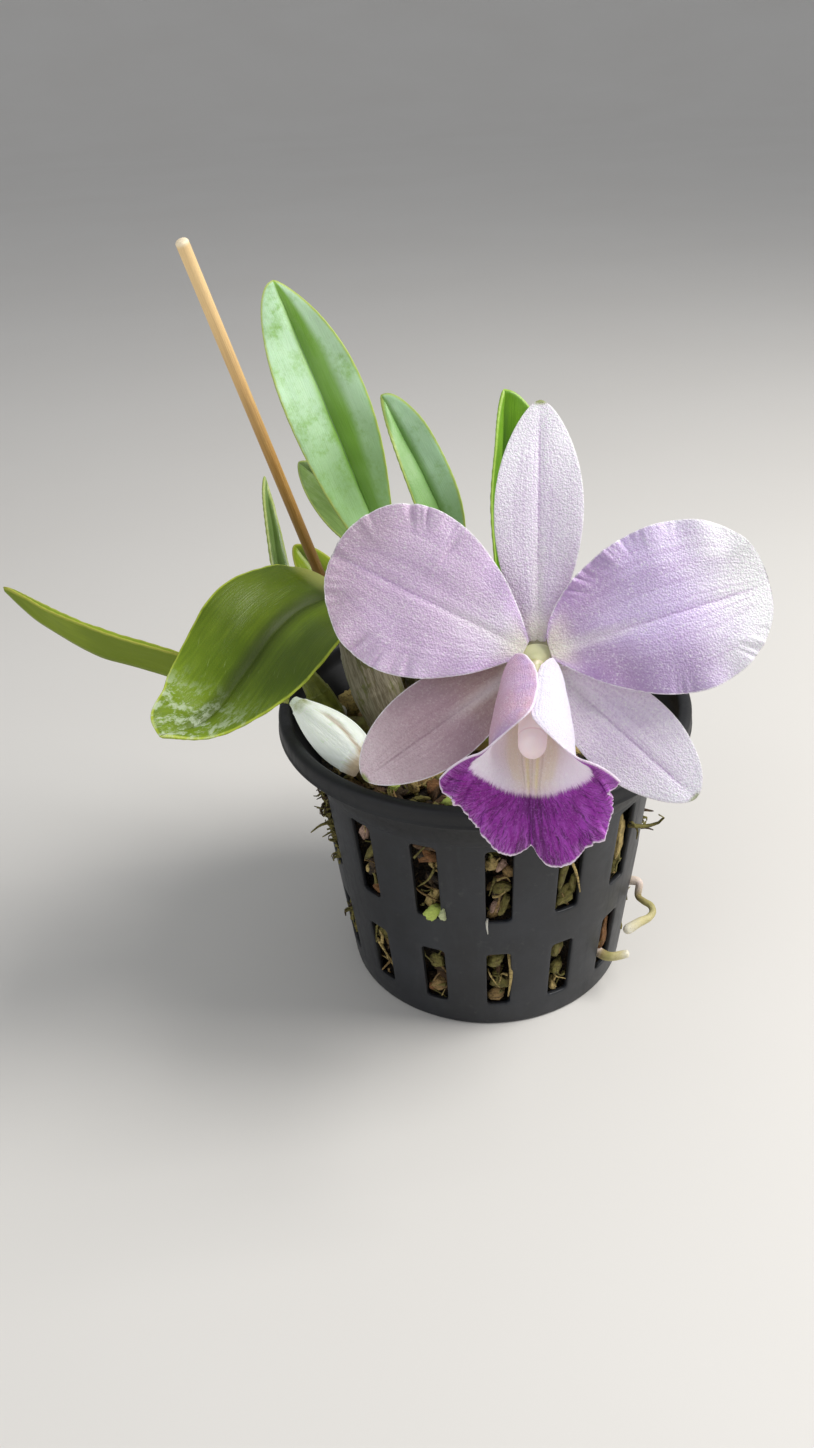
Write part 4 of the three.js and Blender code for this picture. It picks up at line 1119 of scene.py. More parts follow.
@dataclass(frozen=True)
class Column:
    """The column inside the lip, with the anther cap at its end."""

    start: float = 2.4
    end: float = 26.6
    radii: tuple[float, ...] = (2.8, 2.8, 2.9, 3.2, 3.5, 3.5, 3.2)

    def shape(self, lip: Lip, place: FlowerPlace) -> Shape:
        """Models the column with a seam under its rounded cap."""
        axis, _ = lip.axis()
        foot = np.array(lip.foot)
        path = Path(np.linspace(foot + axis * self.start, foot + axis * self.end, 50))

        def radius(t: Array, turn: Array) -> Array:
            """Radius of the column, pinched at the cap's seam."""
            flat = 1 - 0.1 * np.cos(2 * turn)
            return (along(self.radii, t) * flat - 0.12 * bell(t - 0.8, 0.01)) * domed(t, 0.0, 0.13)

        return place.put(tube(path, radius, 48, 90, lambda t: 1 - (1 - t) ** 1.5))


@dataclass(frozen=True)
class StalkFinish:
    """Smooth yellow-green skin of the flower's stalk, ovary and centre."""

    def material(self) -> Material:
        """Makes the material."""
        g = Graph("stalk_skin")
        at = g.place()
        t, turn = g.marks("along", "turn")
        ribbed = g.step(t, 0.97, 0.85)
        base = g.coats(
            g.mix(g.step(t, 0.75, 0.98), 0x93a648, 0xd2d2a8),
            (g.step(t, 1.1, 1.2), 0xa9a588),
            (0.5 * g.step(g.noise(at, 0.35, 3), 0.45, 0.7) * ribbed, 0xb3b45e),
            (0.35 * g.step(g.math("SINE", turn * 6.0), -0.4, -0.95) * ribbed, 0x6f8434),
            (0.3 * g.step(g.noise(at, 1.6, 2), 0.58, 0.7) * g.step(t, 0.9, 0.8), 0x8d5b4a))
        return g.finish(base, 0.42, g.relief((g.noise(at, 1.8, 3), 0.05)), (0.2, (0.7, 1.0, 0.3), 0.002))


@dataclass(frozen=True)
class Stalk:
    """The flower's stalk and ovary, from the lead pseudobulb to the boss in the flower's middle."""

    path: tuple[Point, ...] = ((5, -14.2, 106.7), (5.6, -16.5, 111), (8.4, -25, 114.2), (10.4, -35.5, 115.8))
    radii: tuple[float, ...] = (1.6, 1.7, 1.9, 2.4, 2.7, 2.9, 2.4)
    behind: float = 6.0
    front: float = -1.4
    bosses: tuple[tuple[Point, Point, float], ...] = (((4.6, 3.4, 1.7), (0.0, -0.8, -0.5), 1.0),
                                                      ((5.8, 5.6, 1.8), (0.0, 0.4, -3.0), 1.3))

    def shape(self, place: FlowerPlace) -> Shape:
        """Models the stalk with the six shallow ribs of its ovary."""
        ends = place.world(np.array([[0, 0, -self.behind], [0, 0, self.front]]))

        def radius(t: Array, turn: Array) -> Array:
            """Radius of the stalk, ribbed along the ovary and rounded at the boss."""
            ribs = 1 + 0.06 * np.cos(6 * turn) * smooth(0.15, 0.4, t) * smooth(0.95, 0.8, t)
            return along(self.radii, t) * ribs * domed(t, 0.0, 0.045)

        parts = [tube(Path.through([*self.path, *map(tuple, ends)]), radius, 36, 110)]
        upright = Path(np.linspace((0, 0, -1.0), (0, 0, 1.0), 20))
        for size, middle, mark in self.bosses:
            boss = tube(upright, lambda t, turn: domed(t, 0.5, 0.5), 36, 24)
            marks = boss.marks | {"along": np.full(len(boss.points), mark)}
            parts.append(place.put(Shape(boss.points * size + middle, boss.faces, marks)))
        return Shape.joined(parts)


@dataclass(frozen=True)
class Flower:
    """The open flower with its stalk."""

    place: FlowerPlace = FlowerPlace()
    tepals: Sequence[Tepal] = TEPALS
    lip: Lip = Lip()
    column: Column = Column()
    stalk: Stalk = Stalk()

    def build(self) -> None:
        """Builds every piece of the flower and dresses it."""
        for seed, tepal in enumerate(self.tepals):
            tepal.shape(self.place, TEPAL_SEED + seed).build(
                tepal.name + "_blade", tepal.skin.material(), tepal.slot, tepal.name)
        self.lip.shape(self.place).build("lip_frilled", LipFinish().material(), "lip", "lip")
        self.column.shape(self.lip, self.place).build(
            "column_waxy", ColumnFinish().material(), "column", "column")
        self.stalk.shape(self.place).build(
            "flower_stalk", StalkFinish().material(), "flower_stalk", "flower_stem")


# Pseudobulbs, rhizome, roots and stake


@dataclass(frozen=True)
class BulbLook:
    """Colours of a pseudobulb and its sheaths, how far the sheaths cover it, and how much light of its own it
    gives, which is painted light.
    """

    body: int
    sheath: int
    stain: int
    cover: float
    rough: float
    nerve: int = 0x97907a
    painted_light: float = 0.0


class BulbTone(Enum):
    """Kinds of pseudobulb skin."""

    GREEN = BulbLook(0x6c7420, 0x8f8550, 0x525a1c, 0.25, 0.4)
    # The silver sheaths give light of their own, painted light that brightens them.
    SILVER = BulbLook(0xdde8d8, 0xe6efe4, 0xb59a6c, 0.9, 0.5, 0xf4faf4, 0.24)
    GREY = BulbLook(0x62603c, 0x766d56, 0x46392a, 0.75, 0.6)


@dataclass(frozen=True)
class BulbFinish:
    """Skin of a pseudobulb under dry papery sheaths with fine length-wise nerves."""

    tone: BulbTone

    def material(self) -> Material:
        """Makes the material."""
        look = self.tone.value
        g = Graph(f"bulb_{self.tone.name.lower()}")
        at = g.place()
        t, turn, wrapped, seam = g.marks("along", "turn", "wrapped", "seam")
        nerves = g.noise(g.ring(turn, 2.2, t * 1.5), 5.0, 3, 0.65)
        cloud = g.noise(at, 0.2, 4, 0.6)
        paper = g.coats(g.mix(g.step(nerves, 0.42, 0.62), look.sheath, look.nerve),
                        (0.3 * g.step(cloud, 0.58, 0.8), look.stain))
        torn = g.step(cloud + 0.4 * (nerves - 0.5), 0.75 - 0.5 * look.cover, 0.85 - 0.5 * look.cover)
        base = g.coats(g.mix(g.step(cloud, 0.35, 0.65), look.body, 0x8e9638), (wrapped * torn, paper),
                       (0.8 * seam, 0x9a7746),
                       (0.7 * g.step(t + 0.1 * (nerves - 0.5), 0.16, 0.03), 0xb99662))
        relief = g.relief((nerves, 0.22), (g.noise(at, 1.6, 4, 0.6), 0.1))
        return g.finish(base, look.rough + 0.12 * (cloud - 0.5), relief, (0.12, (0.9, 0.8, 0.5), 0.0015),
                        (base, look.painted_light), Sheen_Weight=0.15, Sheen_Roughness=0.4)


@dataclass(frozen=True)
class Bulb:
    """A pseudobulb: a grooved spindle, ringed where its sheaths grew."""

    name: str
    at: tuple[Point, Point, Point]
    radii: tuple[float, float, float]
    tone: BulbTone
    slot: str
    nodes: tuple[float, ...] = (0.12, 0.36, 0.62, 0.86)
    furrows: int = 9
    neck: float = 1.8

    def shape(self, seed: int) -> Shape:
        """Models the bulb with its furrows, node rings and the torn edges of its sheaths."""
        grain = Grain(BULB_SEED + seed)
        foot, belly, top = self.radii

        def fields(t: Array, turn: Array) -> tuple[Array, Array, Array]:
            """Relief in millimetres, cover by sheaths and closeness to the sheath's seam."""
            x, y = np.cos(turn), np.sin(turn)
            wobble = grain.at(x * 2, y * 2, 3.0)
            relief = np.zeros_like(t)
            for node in self.nodes:
                gap = t - node - 0.012 * wobble
                relief += 0.16 * bell(gap, 0.012) + 0.2 * smooth(0.006, -0.006, gap)
            wrinkle = np.cos(self.furrows * turn + 1.5 * grain.at(x, y, t * 2))
            relief += 0.16 * wrinkle * np.sin(np.pi * t) + 0.12 * grain.at(x * 7, y * 7, t * 3)
            away = np.abs((turn - 4.2 - 0.35 * np.sin(3 * t) + np.pi) % (2 * np.pi) - np.pi)
            seam = bell(away, 0.09) * smooth(0.75, 0.5, t)
            return relief - 0.35 * seam, smooth(0.95, 0.8, t + 0.06 * wobble), seam

        def radius(t: Array, turn: Array) -> Array:
            """Radius of the bulb, drawn in to a neck under its leaf."""
            size = foot + (top - foot) * t + (belly - (foot + top) / 2) * np.sin(np.pi * t**0.85)
            size = size + (self.neck - size) * smooth(0.93, 1.0, t) * 0.8
            return (size - 0.25 + fields(t, turn)[0]) * domed(t, 0.0, 0.015)

        shape = tube(Path.arched(*self.at), radius, 56, 90)
        _, wrapped, seam = fields(shape.marks["along"], shape.marks["turn"])
        shape.marks |= {"wrapped": wrapped, "seam": seam}
        return shape


BULBS = (
    Bulb("pseudobulb_lead", ((-2, -12, 77.4), (1, -12.5, 92), (5, -12, 105.5)), (3.6, 5.2, 3.7),
         BulbTone.GREEN, "green_bulb", neck=2.6),
    Bulb("pseudobulb_front_left", ((-33, -26, 81.5), (-43, -19, 88.5), (-51.6, -11.8, 93.6)), (4.4, 5.9, 1.5),
         BulbTone.SILVER, "silver_sheath", nodes=(0.14, 0.9)),
    Bulb("pseudobulb_grey", ((-24.9, -5.5, 78.2), (-31, -3, 97), (-37, 0.8, 116.6)), (4.4, 6.6, 2.7),
         BulbTone.GREY, "grey_sheath"),
    Bulb("pseudobulb_green", ((-41.4, 2.2, 78), (-45.5, 1.9, 87), (-49.2, 3, 94.4)), (3, 3.6, 2.4),
         BulbTone.GREEN, "green_bulb", nodes=(0.2, 0.6)),
    Bulb("pseudobulb_tall", ((-12, 8.5, 77.5), (-17, 7, 95), (-20, 9.6, 112.8)), (4.2, 6.4, 3),
         BulbTone.GREY, "grey_sheath"),
    Bulb("pseudobulb_middle", ((-5, -1, 77.5), (-5.5, -1, 95), (-7.4, 1.7, 115)), (3.8, 5.4, 2.7),
         BulbTone.GREY, "grey_sheath"),
    Bulb("pseudobulb_back", ((-19, 21, 77.5), (-22, 22.5, 88), (-23.8, 25, 99.4)), (3.4, 4.6, 2.5),
         BulbTone.GREY, "grey_sheath", nodes=(0.15, 0.5, 0.85)),
    Bulb("pseudobulb_back_left", ((-28, 25.5, 77.6), (-32, 25.2, 88), (-36, 24.4, 98)), (3, 3.8, 2.2),
         BulbTone.GREEN, "green_bulb", nodes=(0.15, 0.55)),
)


@dataclass(frozen=True)
class RhizomeFinish:
    """Woody creeping stem: olive skin under brown, torn scales."""

    def material(self) -> Material:
        """Makes the material."""
        g = Graph("rhizome_skin")
        at = g.place()
        cloud, fine = g.noise(at, 0.35, 4, 0.6), g.noise(at, 2.2, 4, 0.6)
        base = g.ramp(cloud + 0.3 * (fine - 0.5), (0.3, 0x4a3d22), (0.46, 0x7a7038), (0.6, 0x8c8d45),
                      (0.75, 0xa89468))
        return g.finish(base, 0.62 + 0.2 * (cloud - 0.5), g.relief((fine, 0.35)))


@dataclass(frozen=True)
class Rhizome:
    """The creeping stem that carries the pseudobulbs."""

    radius: float = 2.7
    runs: tuple[tuple[Point, ...], ...] = (
        ((-28, 25, 76), (-18, 20, 76), (-11, 8, 76), (-5, -2, 76), (-2, -13, 75.5)),
        ((-12, 9, 76), (-24, -4, 76), (-31, -18, 77), (-34, -27, 78.5)),
        ((-23, -3, 76), (-32, 2, 76), (-41, 2, 76)),
    )

    def shape(self) -> Shape:
        """Models the runs, ringed by the scars of their scales."""
        grain = Grain(RHIZOME_SEED)
        parts = []
        for number, run in enumerate(self.runs):
            path = Path.through(run)

            def radius(t: Array, turn: Array, length: float = path.length, n: int = number) -> Array:
                """Radius along one run, with rings and torn scale edges."""
                place = t * length / 4.2 + 0.2 * grain.at(np.cos(turn) * 1.5, np.sin(turn) * 1.5, n)
                scale = place - np.floor(place)
                rough = 0.22 * grain.at(np.cos(turn) * 3, np.sin(turn) * 3, t * length / 2, layers=2)
                return (self.radius - 0.3 + 0.45 * scale + rough) * domed(t, 0.04, 0.04)

            parts.append(tube(path, radius, 36, int(path.length * 2.4)))
        return Shape.joined(parts)


@dataclass(frozen=True)
class RootFinish:
    """Spongy pale root skin, greener towards the tip."""

    def material(self) -> Material:
        """Makes the material."""
        g = Graph("root_skin")
        at = g.place()
        cloud, fine = g.noise(at, 0.28, 4, 0.6), g.noise(at, 2.6, 3)
        base = g.coats(
            g.ramp(g.marks("along")[0] + 0.16 * (cloud - 0.5), (0.1, 0xd9c9ae), (0.3, 0xe3d2c8),
                   (0.42, 0x9a8a5c), (0.58, 0xa7a064), (0.8, 0xd9cf9c), (0.95, 0xe9e4cf)),
            (0.3 * g.step(fine, 0.5, 0.7), 0x8f7d50))
        return g.finish(base, 0.6, g.relief((fine, 0.15)), (0.15, (0.9, 0.9, 0.5), 0.001))


@dataclass(frozen=True)
class Root:
    """A root that runs out through a slot."""

    name: str
    at: tuple[Point, ...]
    radii: tuple[float, ...]

    def shape(self, seed: int) -> Shape:
        """Models the root, a little uneven and rounded at its ends."""
        grain = Grain(seed)
        path = Path.through(self.at)

        def radius(t: Array, turn: Array) -> Array:
            """Radius of the root at a place."""
            uneven = 1 + 0.12 * grain.at(t * path.length / 3, np.cos(turn), np.sin(turn), layers=2)
            return along(self.radii, t) * uneven * domed(t, 0.03, 0.06)

        return tube(path, radius, 20, int(path.length * 2.5) + 8)


ROOTS = (
    Root("root_loop", ((36, -11.7, 25), (40.9, -13.3, 27.2), (43.9, -14.9, 27.3), (43.5, -17, 24.1),
                       (44.6, -19.6, 24.2), (46.4, -21.4, 23.8), (46.6, -23, 22.9), (45.2, -24.6, 22.2),
                       (42, -26, 21.8), (37.4, -28, 20.3)),
         (1.3, 1.4, 1.4, 1.1, 0.95, 1.0, 1.05, 1.2, 1.4, 1.4)),
    Root("root_short", ((27.5, -24.8, 14.2), (32.6, -29.8, 13), (38.8, -31, 14.8)), (1.5, 1.4, 1.15)),
)


@dataclass(frozen=True)
class BambooFinish:
    """Planed bamboo: straight fibres, weathered patches and a pale cut end; painted lighter, with light of
    its own, towards the top, and darker towards the foot, partly staining and partly painted shade.
    """

    def material(self) -> Material:
        """Makes the material."""
        g = Graph("bamboo_wood")
        at = g.place()
        t, turn = g.marks("along", "turn")
        fibre = g.noise(g.ring(turn, 3.0, t * 5.0), 3.0, 4, 0.65)
        base = g.coats(
            g.ramp(fibre, (0.3, 0x9a6a2c), (0.5, 0xc8954a), (0.7, 0xe2b970)),
            (0.5 * g.step(g.noise(at, 0.05, 3), 0.45, 0.7), 0xa87c40),
            # darker towards the foot, where it stands among the leaves: partly staining, partly painted shade
            (0.75 * g.step(t, 0.85, 0.3), 0x5a4114),
            # painted light: lighter towards the top, where light falls on it
            (0.65 * g.step(t, 0.6, 1.0), 0xf2d8a6),
            (g.step(t, 0.992, 0.999), 0xeddcbc))
        # the upper part gives light of its own, painted light
        painted_light = g.mix(g.step(t, 0.5, 1.0), 0x000000, base)
        return g.finish(base, 0.5 + 0.15 * (fibre - 0.5), g.relief((fibre, 0.12)), painted_light=(painted_light, 0.2))


@dataclass(frozen=True)
class Stake:
    """The bamboo stake."""

    foot: Point = (-28.4, 30.1, 56)
    head: Point = (-63.3, -17.6, 209.3)
    radius: float = 1.5

    def shape(self) -> Shape:
        """Models the stake with its slightly worn, cut head."""
        grain = Grain(STAKE_SEED)
        path = Path(np.linspace(self.foot, self.head, 60))

        def radius(t: Array, turn: Array) -> Array:
            """Radius of the stake, split along its fibres and eased at the cut."""
            fibre = 0.03 * grain.at(np.cos(turn) * 4, np.sin(turn) * 4, t * 9)
            return (self.radius - 0.03 + fibre) * (1 - 0.22 * smooth(0.9975, 1.0, t))

        return tube(path, radius, 32, 120, lambda t: 1 - (1 - t) ** 1.6)


@dataclass(frozen=True)
class Plant:
    """What stands in the medium besides the flower and leaves."""

    bulbs: Sequence[Bulb] = BULBS
    rhizome: Rhizome = Rhizome()
    roots: Sequence[Root] = ROOTS
    stake: Stake = Stake()

    def build(self) -> None:
        """Builds each piece and dresses it."""
        skins = {tone: BulbFinish(tone).material() for tone in BulbTone}
        for seed, bulb in enumerate(self.bulbs):
            bulb.shape(seed).build(bulb.name + "_sheathed", skins[bulb.tone], bulb.slot, bulb.name)
        self.rhizome.shape().build("rhizome_scaly", RhizomeFinish().material(), "rhizome", "rhizome")
        root_skin = RootFinish().material()
        for seed, root in enumerate(self.roots):
            root.shape(ROOT_SEED + seed).build(root.name + "_skin", root_skin, "root", root.name)
        self.stake.shape().build("stake_bamboo", BambooFinish().material(), "bamboo", "bamboo_stake")


# Net pot


def lathe(profile: Sequence[Pair], turn: Array) -> Shape:
    """A surface turned about the pot's axis from radii and heights, its outer side on the profile's right."""
    radius, height = np.array(profile).T
    rings = [np.outer(radius, np.cos(turn)), np.outer(radius, np.sin(turn)),
             np.outer(height, np.ones_like(turn))]
    return Shape(np.stack(rings, axis=-1).reshape(-1, 3), ring_faces(len(profile), len(turn)))


@dataclass(frozen=True)
class Window:
    """An opening with round corners: half of its width and height, its corners' radius, and where it lies."""

    half: Pair
    corner: float = 0.0
    middle: Pair = (0.0, 0.0)

    def edge(self, across: Array, upright: Array, grow: float = 0.0) -> Array:
        """Points round the opening, against the clock.

        Args:
            across: places over its width, from -1 to 1.
            upright: places over its height, from -1 to 1.
            grow: how much wider than the opening they run.

        Returns:
            The points, as pairs.
        """
        half, corner, one = np.array(self.half) + grow, self.corner + grow, np.ones
        x = np.concatenate([across[:-1], one(len(upright) - 1), across[:0:-1], -one(len(upright) - 1)])
        y = np.concatenate([-one(len(across) - 1), upright[:-1], one(len(across) - 1), upright[:0:-1]])
        points = np.stack([x, y], axis=-1) * half
        core = np.clip(points, corner - half, half - corner)
        away = points - core
        gap = np.linalg.norm(away, axis=-1, keepdims=True)
        return np.where(gap > 0, core + corner * away / np.maximum(gap, 1e-9), points) + self.middle

    def walled(self, border: Array, across: Array, upright: Array,
               steps: Sequence[tuple[float, float, float]]) -> Array:
        """Rings of points from a border to the opening, through the wall and back.

        Args:
            border: the wall's outer border, with as many points as the opening.
            across: places over the opening's width.
            upright: places over the opening's height.
            steps: for each ring its share of the way to the opening, how much wider it is, and its depth.

        Returns:
            The rings' points, each with its depth.
        """
        rings = []
        for share, grow, depth in steps:
            ring = border + (self.edge(across, upright, grow) - border) * share
            rings.append(np.column_stack([ring, np.full(len(ring), depth)]))
        return np.concatenate(rings)


@dataclass(frozen=True)
class PlasticFinish:
    """Satin moulded plastic, dusty and faintly stained by water, with painted shade on the collar and rim."""

    def material(self) -> Material:
        """Makes the material."""
        g = Graph("pot_plastic")
        at = g.place()
        dust = g.noise(at, 0.35, 5, 0.65)
        drawn = g.node("ShaderNodeVectorMath", {0: at, 1: (1.0, 1.0, 0.12)}, operation="MULTIPLY")
        streak = g.step(g.noise(drawn, 0.5, 3), 0.5, 0.75)
        # painted shade: the collar and rim are coloured near black
        collar = g.step(g.marks("height")[0], 68, 73)
        base = g.coats(
            g.mix(g.step(g.noise(at, 0.035, 4, 0.6), 0.35, 0.7), 0x1b1d21, 0x272a30),
            (0.22 * streak, 0x45474a), (0.2 * g.step(dust, 0.58, 0.75), 0x63645f), (0.6 * collar, 0x0a0a0b))
        relief = g.relief((g.noise(at, 3.0, 2), 0.025), (g.noise(at, 0.12, 2), 0.12))
        rough = 0.44 + 0.22 * (dust - 0.5) + 0.12 * streak + 0.1 * collar
        return g.finish(base, rough, relief, Specular_IOR_Level=0.45)


@dataclass(frozen=True)
class NetPot:
    """The slotted pot: a wall with two slots in each column, a flared collar and a floor with drains."""

    base_radius: float = 41.2
    shoulder_radius: float = 48.3
    shoulder: float = 69.0
    wall: float = 1.6
    floor: float = 2.2
    columns: int = 15
    slot_half: float = 4.4
    slot_rows: tuple[Pair, ...] = ((8.5, 29.0), (41.5, 67.0))
    cell_rows: tuple[Pair, ...] = ((4.0, 35.25), (35.25, 68.5))
    middle_radius: float = 45.0
    corner: float = 1.3
    drains: int = 6
    drain: Window = Window((7.0, 2.0), 1, (25.0, 0))
    sector: Pair = (22.0, 16.0)
    hub_radius: float = 6.4
    foot_profile: tuple[Pair, ...] = (
        (39.9, 2.7), (39.3, 2.25), (37.5, 2.2), (37.5, 0), (40.3, 0), (40.85, 0.15), (41.15, 0.5),
        (41.28, 1.1))
    collar_profile: tuple[Pair, ...] = (
        (48.3, 69.1), (48.42, 69.2), (48.8, 69.3), (49.05, 69.6), (49.9, 72.1), (51.5, 74.8), (53.1, 77.4),
        (54.5, 79.6), (55.05, 80.3), (55.35, 80.45), (56.5, 80.4), (57.0, 80.45), (57.3, 80.75),
        (57.3, 81.05), (57.05, 81.45), (57, 81.8), (57.05, 83), (57, 84.2), (56.8, 84.9), (56.3, 85.35),
        (55.6, 85.5), (54.5, 85.5), (53.9, 85.3), (53.5, 84.8), (53.3, 83.9), (53.15, 82), (53.05, 80.6),
        (52.5, 79.6), (49.6, 74.7), (46.8, 70.1), (46.55, 69.2))

    def radius(self, height: Array | float) -> Array | float:
        """The wall's outer radius at a height."""
        return self.base_radius + (self.shoulder_radius - self.base_radius) * height / self.shoulder

    def column(self, number: int) -> float:
        """The angle of a column of slots."""
        return math.radians(-90 + number * 360 / self.columns)

    def ways(self, number: int) -> tuple[Array, Array]:
        """The directions out of the wall and sideways at a column of slots."""
        turn = self.column(number)
        return np.array((math.cos(turn), math.sin(turn), 0)), np.array((-math.sin(turn), math.cos(turn), 0))

    def slot_height(self, row: int, share: float) -> float:
        """The height at a share of the slots of a row."""
        low, high = self.slot_rows[row]
        return low + (high - low) * share

    def by_slot(self, points: Array) -> tuple[Array, Array, Array]:
        """For points, the distance from the axis, the angle off a column, and the height within the slots."""
        reach, turn = np.hypot(points[:, 0], points[:, 1]), np.arctan2(points[:, 1], points[:, 0])
        pitch = 2 * math.pi / self.columns
        off = np.abs((turn - self.column(0) + pitch / 2) % pitch - pitch / 2)
        low, high = np.array(self.slot_rows).T[..., None]
        return reach, off, np.minimum(points[:, 2] - low, high - points[:, 2]).max(axis=0)

    def slot_wall(self) -> list[Shape]:
        """Every cell of the wall, with its slot's rounded edges on both faces."""
        across = np.array([-1, -0.88, -0.76, -0.6, -0.3, 0, 0.3, 0.6, 0.76, 0.88, 1])
        upright = np.array([-1, -0.95, -0.9, -0.45, 0, 0.45, 0.9, 0.95, 1])
        steps = ((0, 0.5, 0), (0.5, 0.5, 0), (0.85, 0.5, 0), (1, 0.45, 0.02), (1, 0.15, 0.1), (1, 0, 0.35),
                 (1, 0, self.wall - 0.35), (1, 0.15, self.wall - 0.1), (1, 0.45, self.wall),
                 (0.5, 0.5, self.wall), (0, 0.5, self.wall))
        parts = []
        for (low, high), (bottom, top) in zip(self.slot_rows, self.cell_rows):
            slot = Window((math.radians(self.slot_half) * self.middle_radius, (high - low) / 2), self.corner)
            cell = Window((math.pi / self.columns * self.middle_radius, (top - bottom) / 2),
                          middle=(0, (top + bottom - high - low) / 2))
            border = cell.edge(across, upright)
            rings = slot.walled(border, across, upright, steps)
            height = rings[:, 1] + (low + high) / 2
            reach = self.radius(height) - rings[:, 2]
            faces = ring_faces(len(steps), len(border))
            for number in range(self.columns):
                turn = rings[:, 0] / self.middle_radius + self.column(number)
                points = np.stack([reach * np.cos(turn), reach * np.sin(turn), height], axis=-1)
                parts.append(Shape(points, faces))
        return parts

    def shape(self) -> Shape:
        """Models the whole pot."""
        across = np.array([-1, -0.88, -0.76, -0.6, -0.3, 0, 0.3, 0.6, 0.76, 0.88])
        turn = np.concatenate([self.column(n) + across * math.pi / self.columns for n in range(self.columns)])
        low, high = self.cell_rows[0][0], self.cell_rows[1][1]
        collar = [(self.radius(high), high), *self.collar_profile, (self.radius(high) - self.wall, high)]
        foot = [(self.radius(low) - self.wall, low), *self.foot_profile, (self.radius(low), low)]
        ring = Shape.joined([*self.slot_wall(), lathe(collar, turn), lathe(foot, turn)]).welded()
        return Shape.joined([ring, *self.bottom()])

    def bottom(self) -> list[Shape]:
        """The floor: a hub and six sectors with a drain slot in each."""
        even = np.linspace(-1, 1, 13)
        square = Window((1, 1)).edge(even, even)
        reach, turn = self.sector[0] + self.sector[1] * square[:, 0], square[:, 1] * math.pi / self.drains
        border = np.stack([reach * np.cos(turn), reach * np.sin(turn)], axis=-1)
        steps = ((0, 0, self.floor), (1, 0.35, self.floor), (1, 0.1, self.floor - 0.1),
                 (1, 0, self.floor - 0.35), (1, 0, 0.35), (1, 0.1, 0.1), (1, 0.35, 0), (0, 0, 0))
        rings = self.drain.walled(border, even, even, steps) + (0, 0, 0.01)
        faces = ring_faces(len(steps), len(border))
        hub = [(0.01, 0), (self.hub_radius, 0), (self.hub_radius, self.floor), (0.01, self.floor)]
        parts = [lathe(hub, around(48))]
        for number in range(self.drains):
            turn = Matrix.Rotation(2 * math.pi * (number + 0.5) / self.drains, 3, "Z")
            parts.append(Shape(rings @ np.array(turn).T, faces))
        return parts

    def build(self) -> None:
        """Builds the pot and dresses it."""
        shape = self.shape()
        shape.marks["height"] = shape.points[:, 2].copy()
        shape.build("net_pot_moulded", PlasticFinish().material(), "pot_plastic", "net_pot")


# Growing medium


class Bit(Enum):
    """Kinds of scraps in the medium, by their places in the ramp of colours."""

    CHAR = 0.0
    DARK = 0.16
    BROWN = 0.3
    TAN = 0.42
    STRAW = 0.52
    RUST = 0.62
    PINK = 0.72
    MOSS = 0.81
    LEAFY = 0.9
    PALE = 0.95
    WHITE = 1.0


BIT_COLOURS = {Bit.CHAR: 0x1c140d, Bit.DARK: 0x40301e, Bit.BROWN: 0x5f452c, Bit.TAN: 0x9c7f4e,
               Bit.STRAW: 0xc6ae6e, Bit.RUST: 0x85592f, Bit.PINK: 0xbc9a88, Bit.MOSS: 0x7c7538,
               Bit.LEAFY: 0xcbdf6c, Bit.WHITE: 0xe4e2d6}


@dataclass(frozen=True)
class MediumFinish:
    """Chips of bark with a fibrous grain, and moss, each scrap in a colour of its own."""

    def material(self) -> Material:
        """Makes the material."""
        g = Graph("bark_and_moss")
        at = g.place()
        hue, x, y, z = g.marks("hue", "grain_x", "grain_y", "grain_z")
        fibre = g.noise(g.spot(x * 0.25, y * 1.5, z * 1.5), 1.0, 4, 0.65)
        fine, stain = g.noise(at, 2.2, 4, 0.6), g.noise(at, 0.9, 4, 0.7)
        fresh = g.step(hue, 0.84, 0.89)
        base = g.coats(
            g.ramp(hue, *((bit.value, shade) for bit, shade in BIT_COLOURS.items())),
            ((0.6 - 0.4 * fresh) * g.step(fibre, 0.52, 0.32), 0x21180f),
            (0.4 * g.step(fibre + 0.3 * (fine - 0.5), 0.55, 0.75), 0xc9b184),
            (0.5 * (1 - fresh) * g.step(stain, 0.5, 0.62), 0x56401f),
            (0.45 * g.step(fine, 0.58, 0.7), 0x2a2014))
        return g.finish(base, 0.78 + 0.15 * (fine - 0.5), g.relief((fibre, 0.5), (fine, 0.4)))


@dataclass(frozen=True)
class Scrap:
    """A chip at a slot: where the slot is, how high in it and how far to its side, size, kind and lean."""

    column: int
    row: int
    height: float
    side: float
    size: Point
    kind: Bit
    lean: float = 0.0


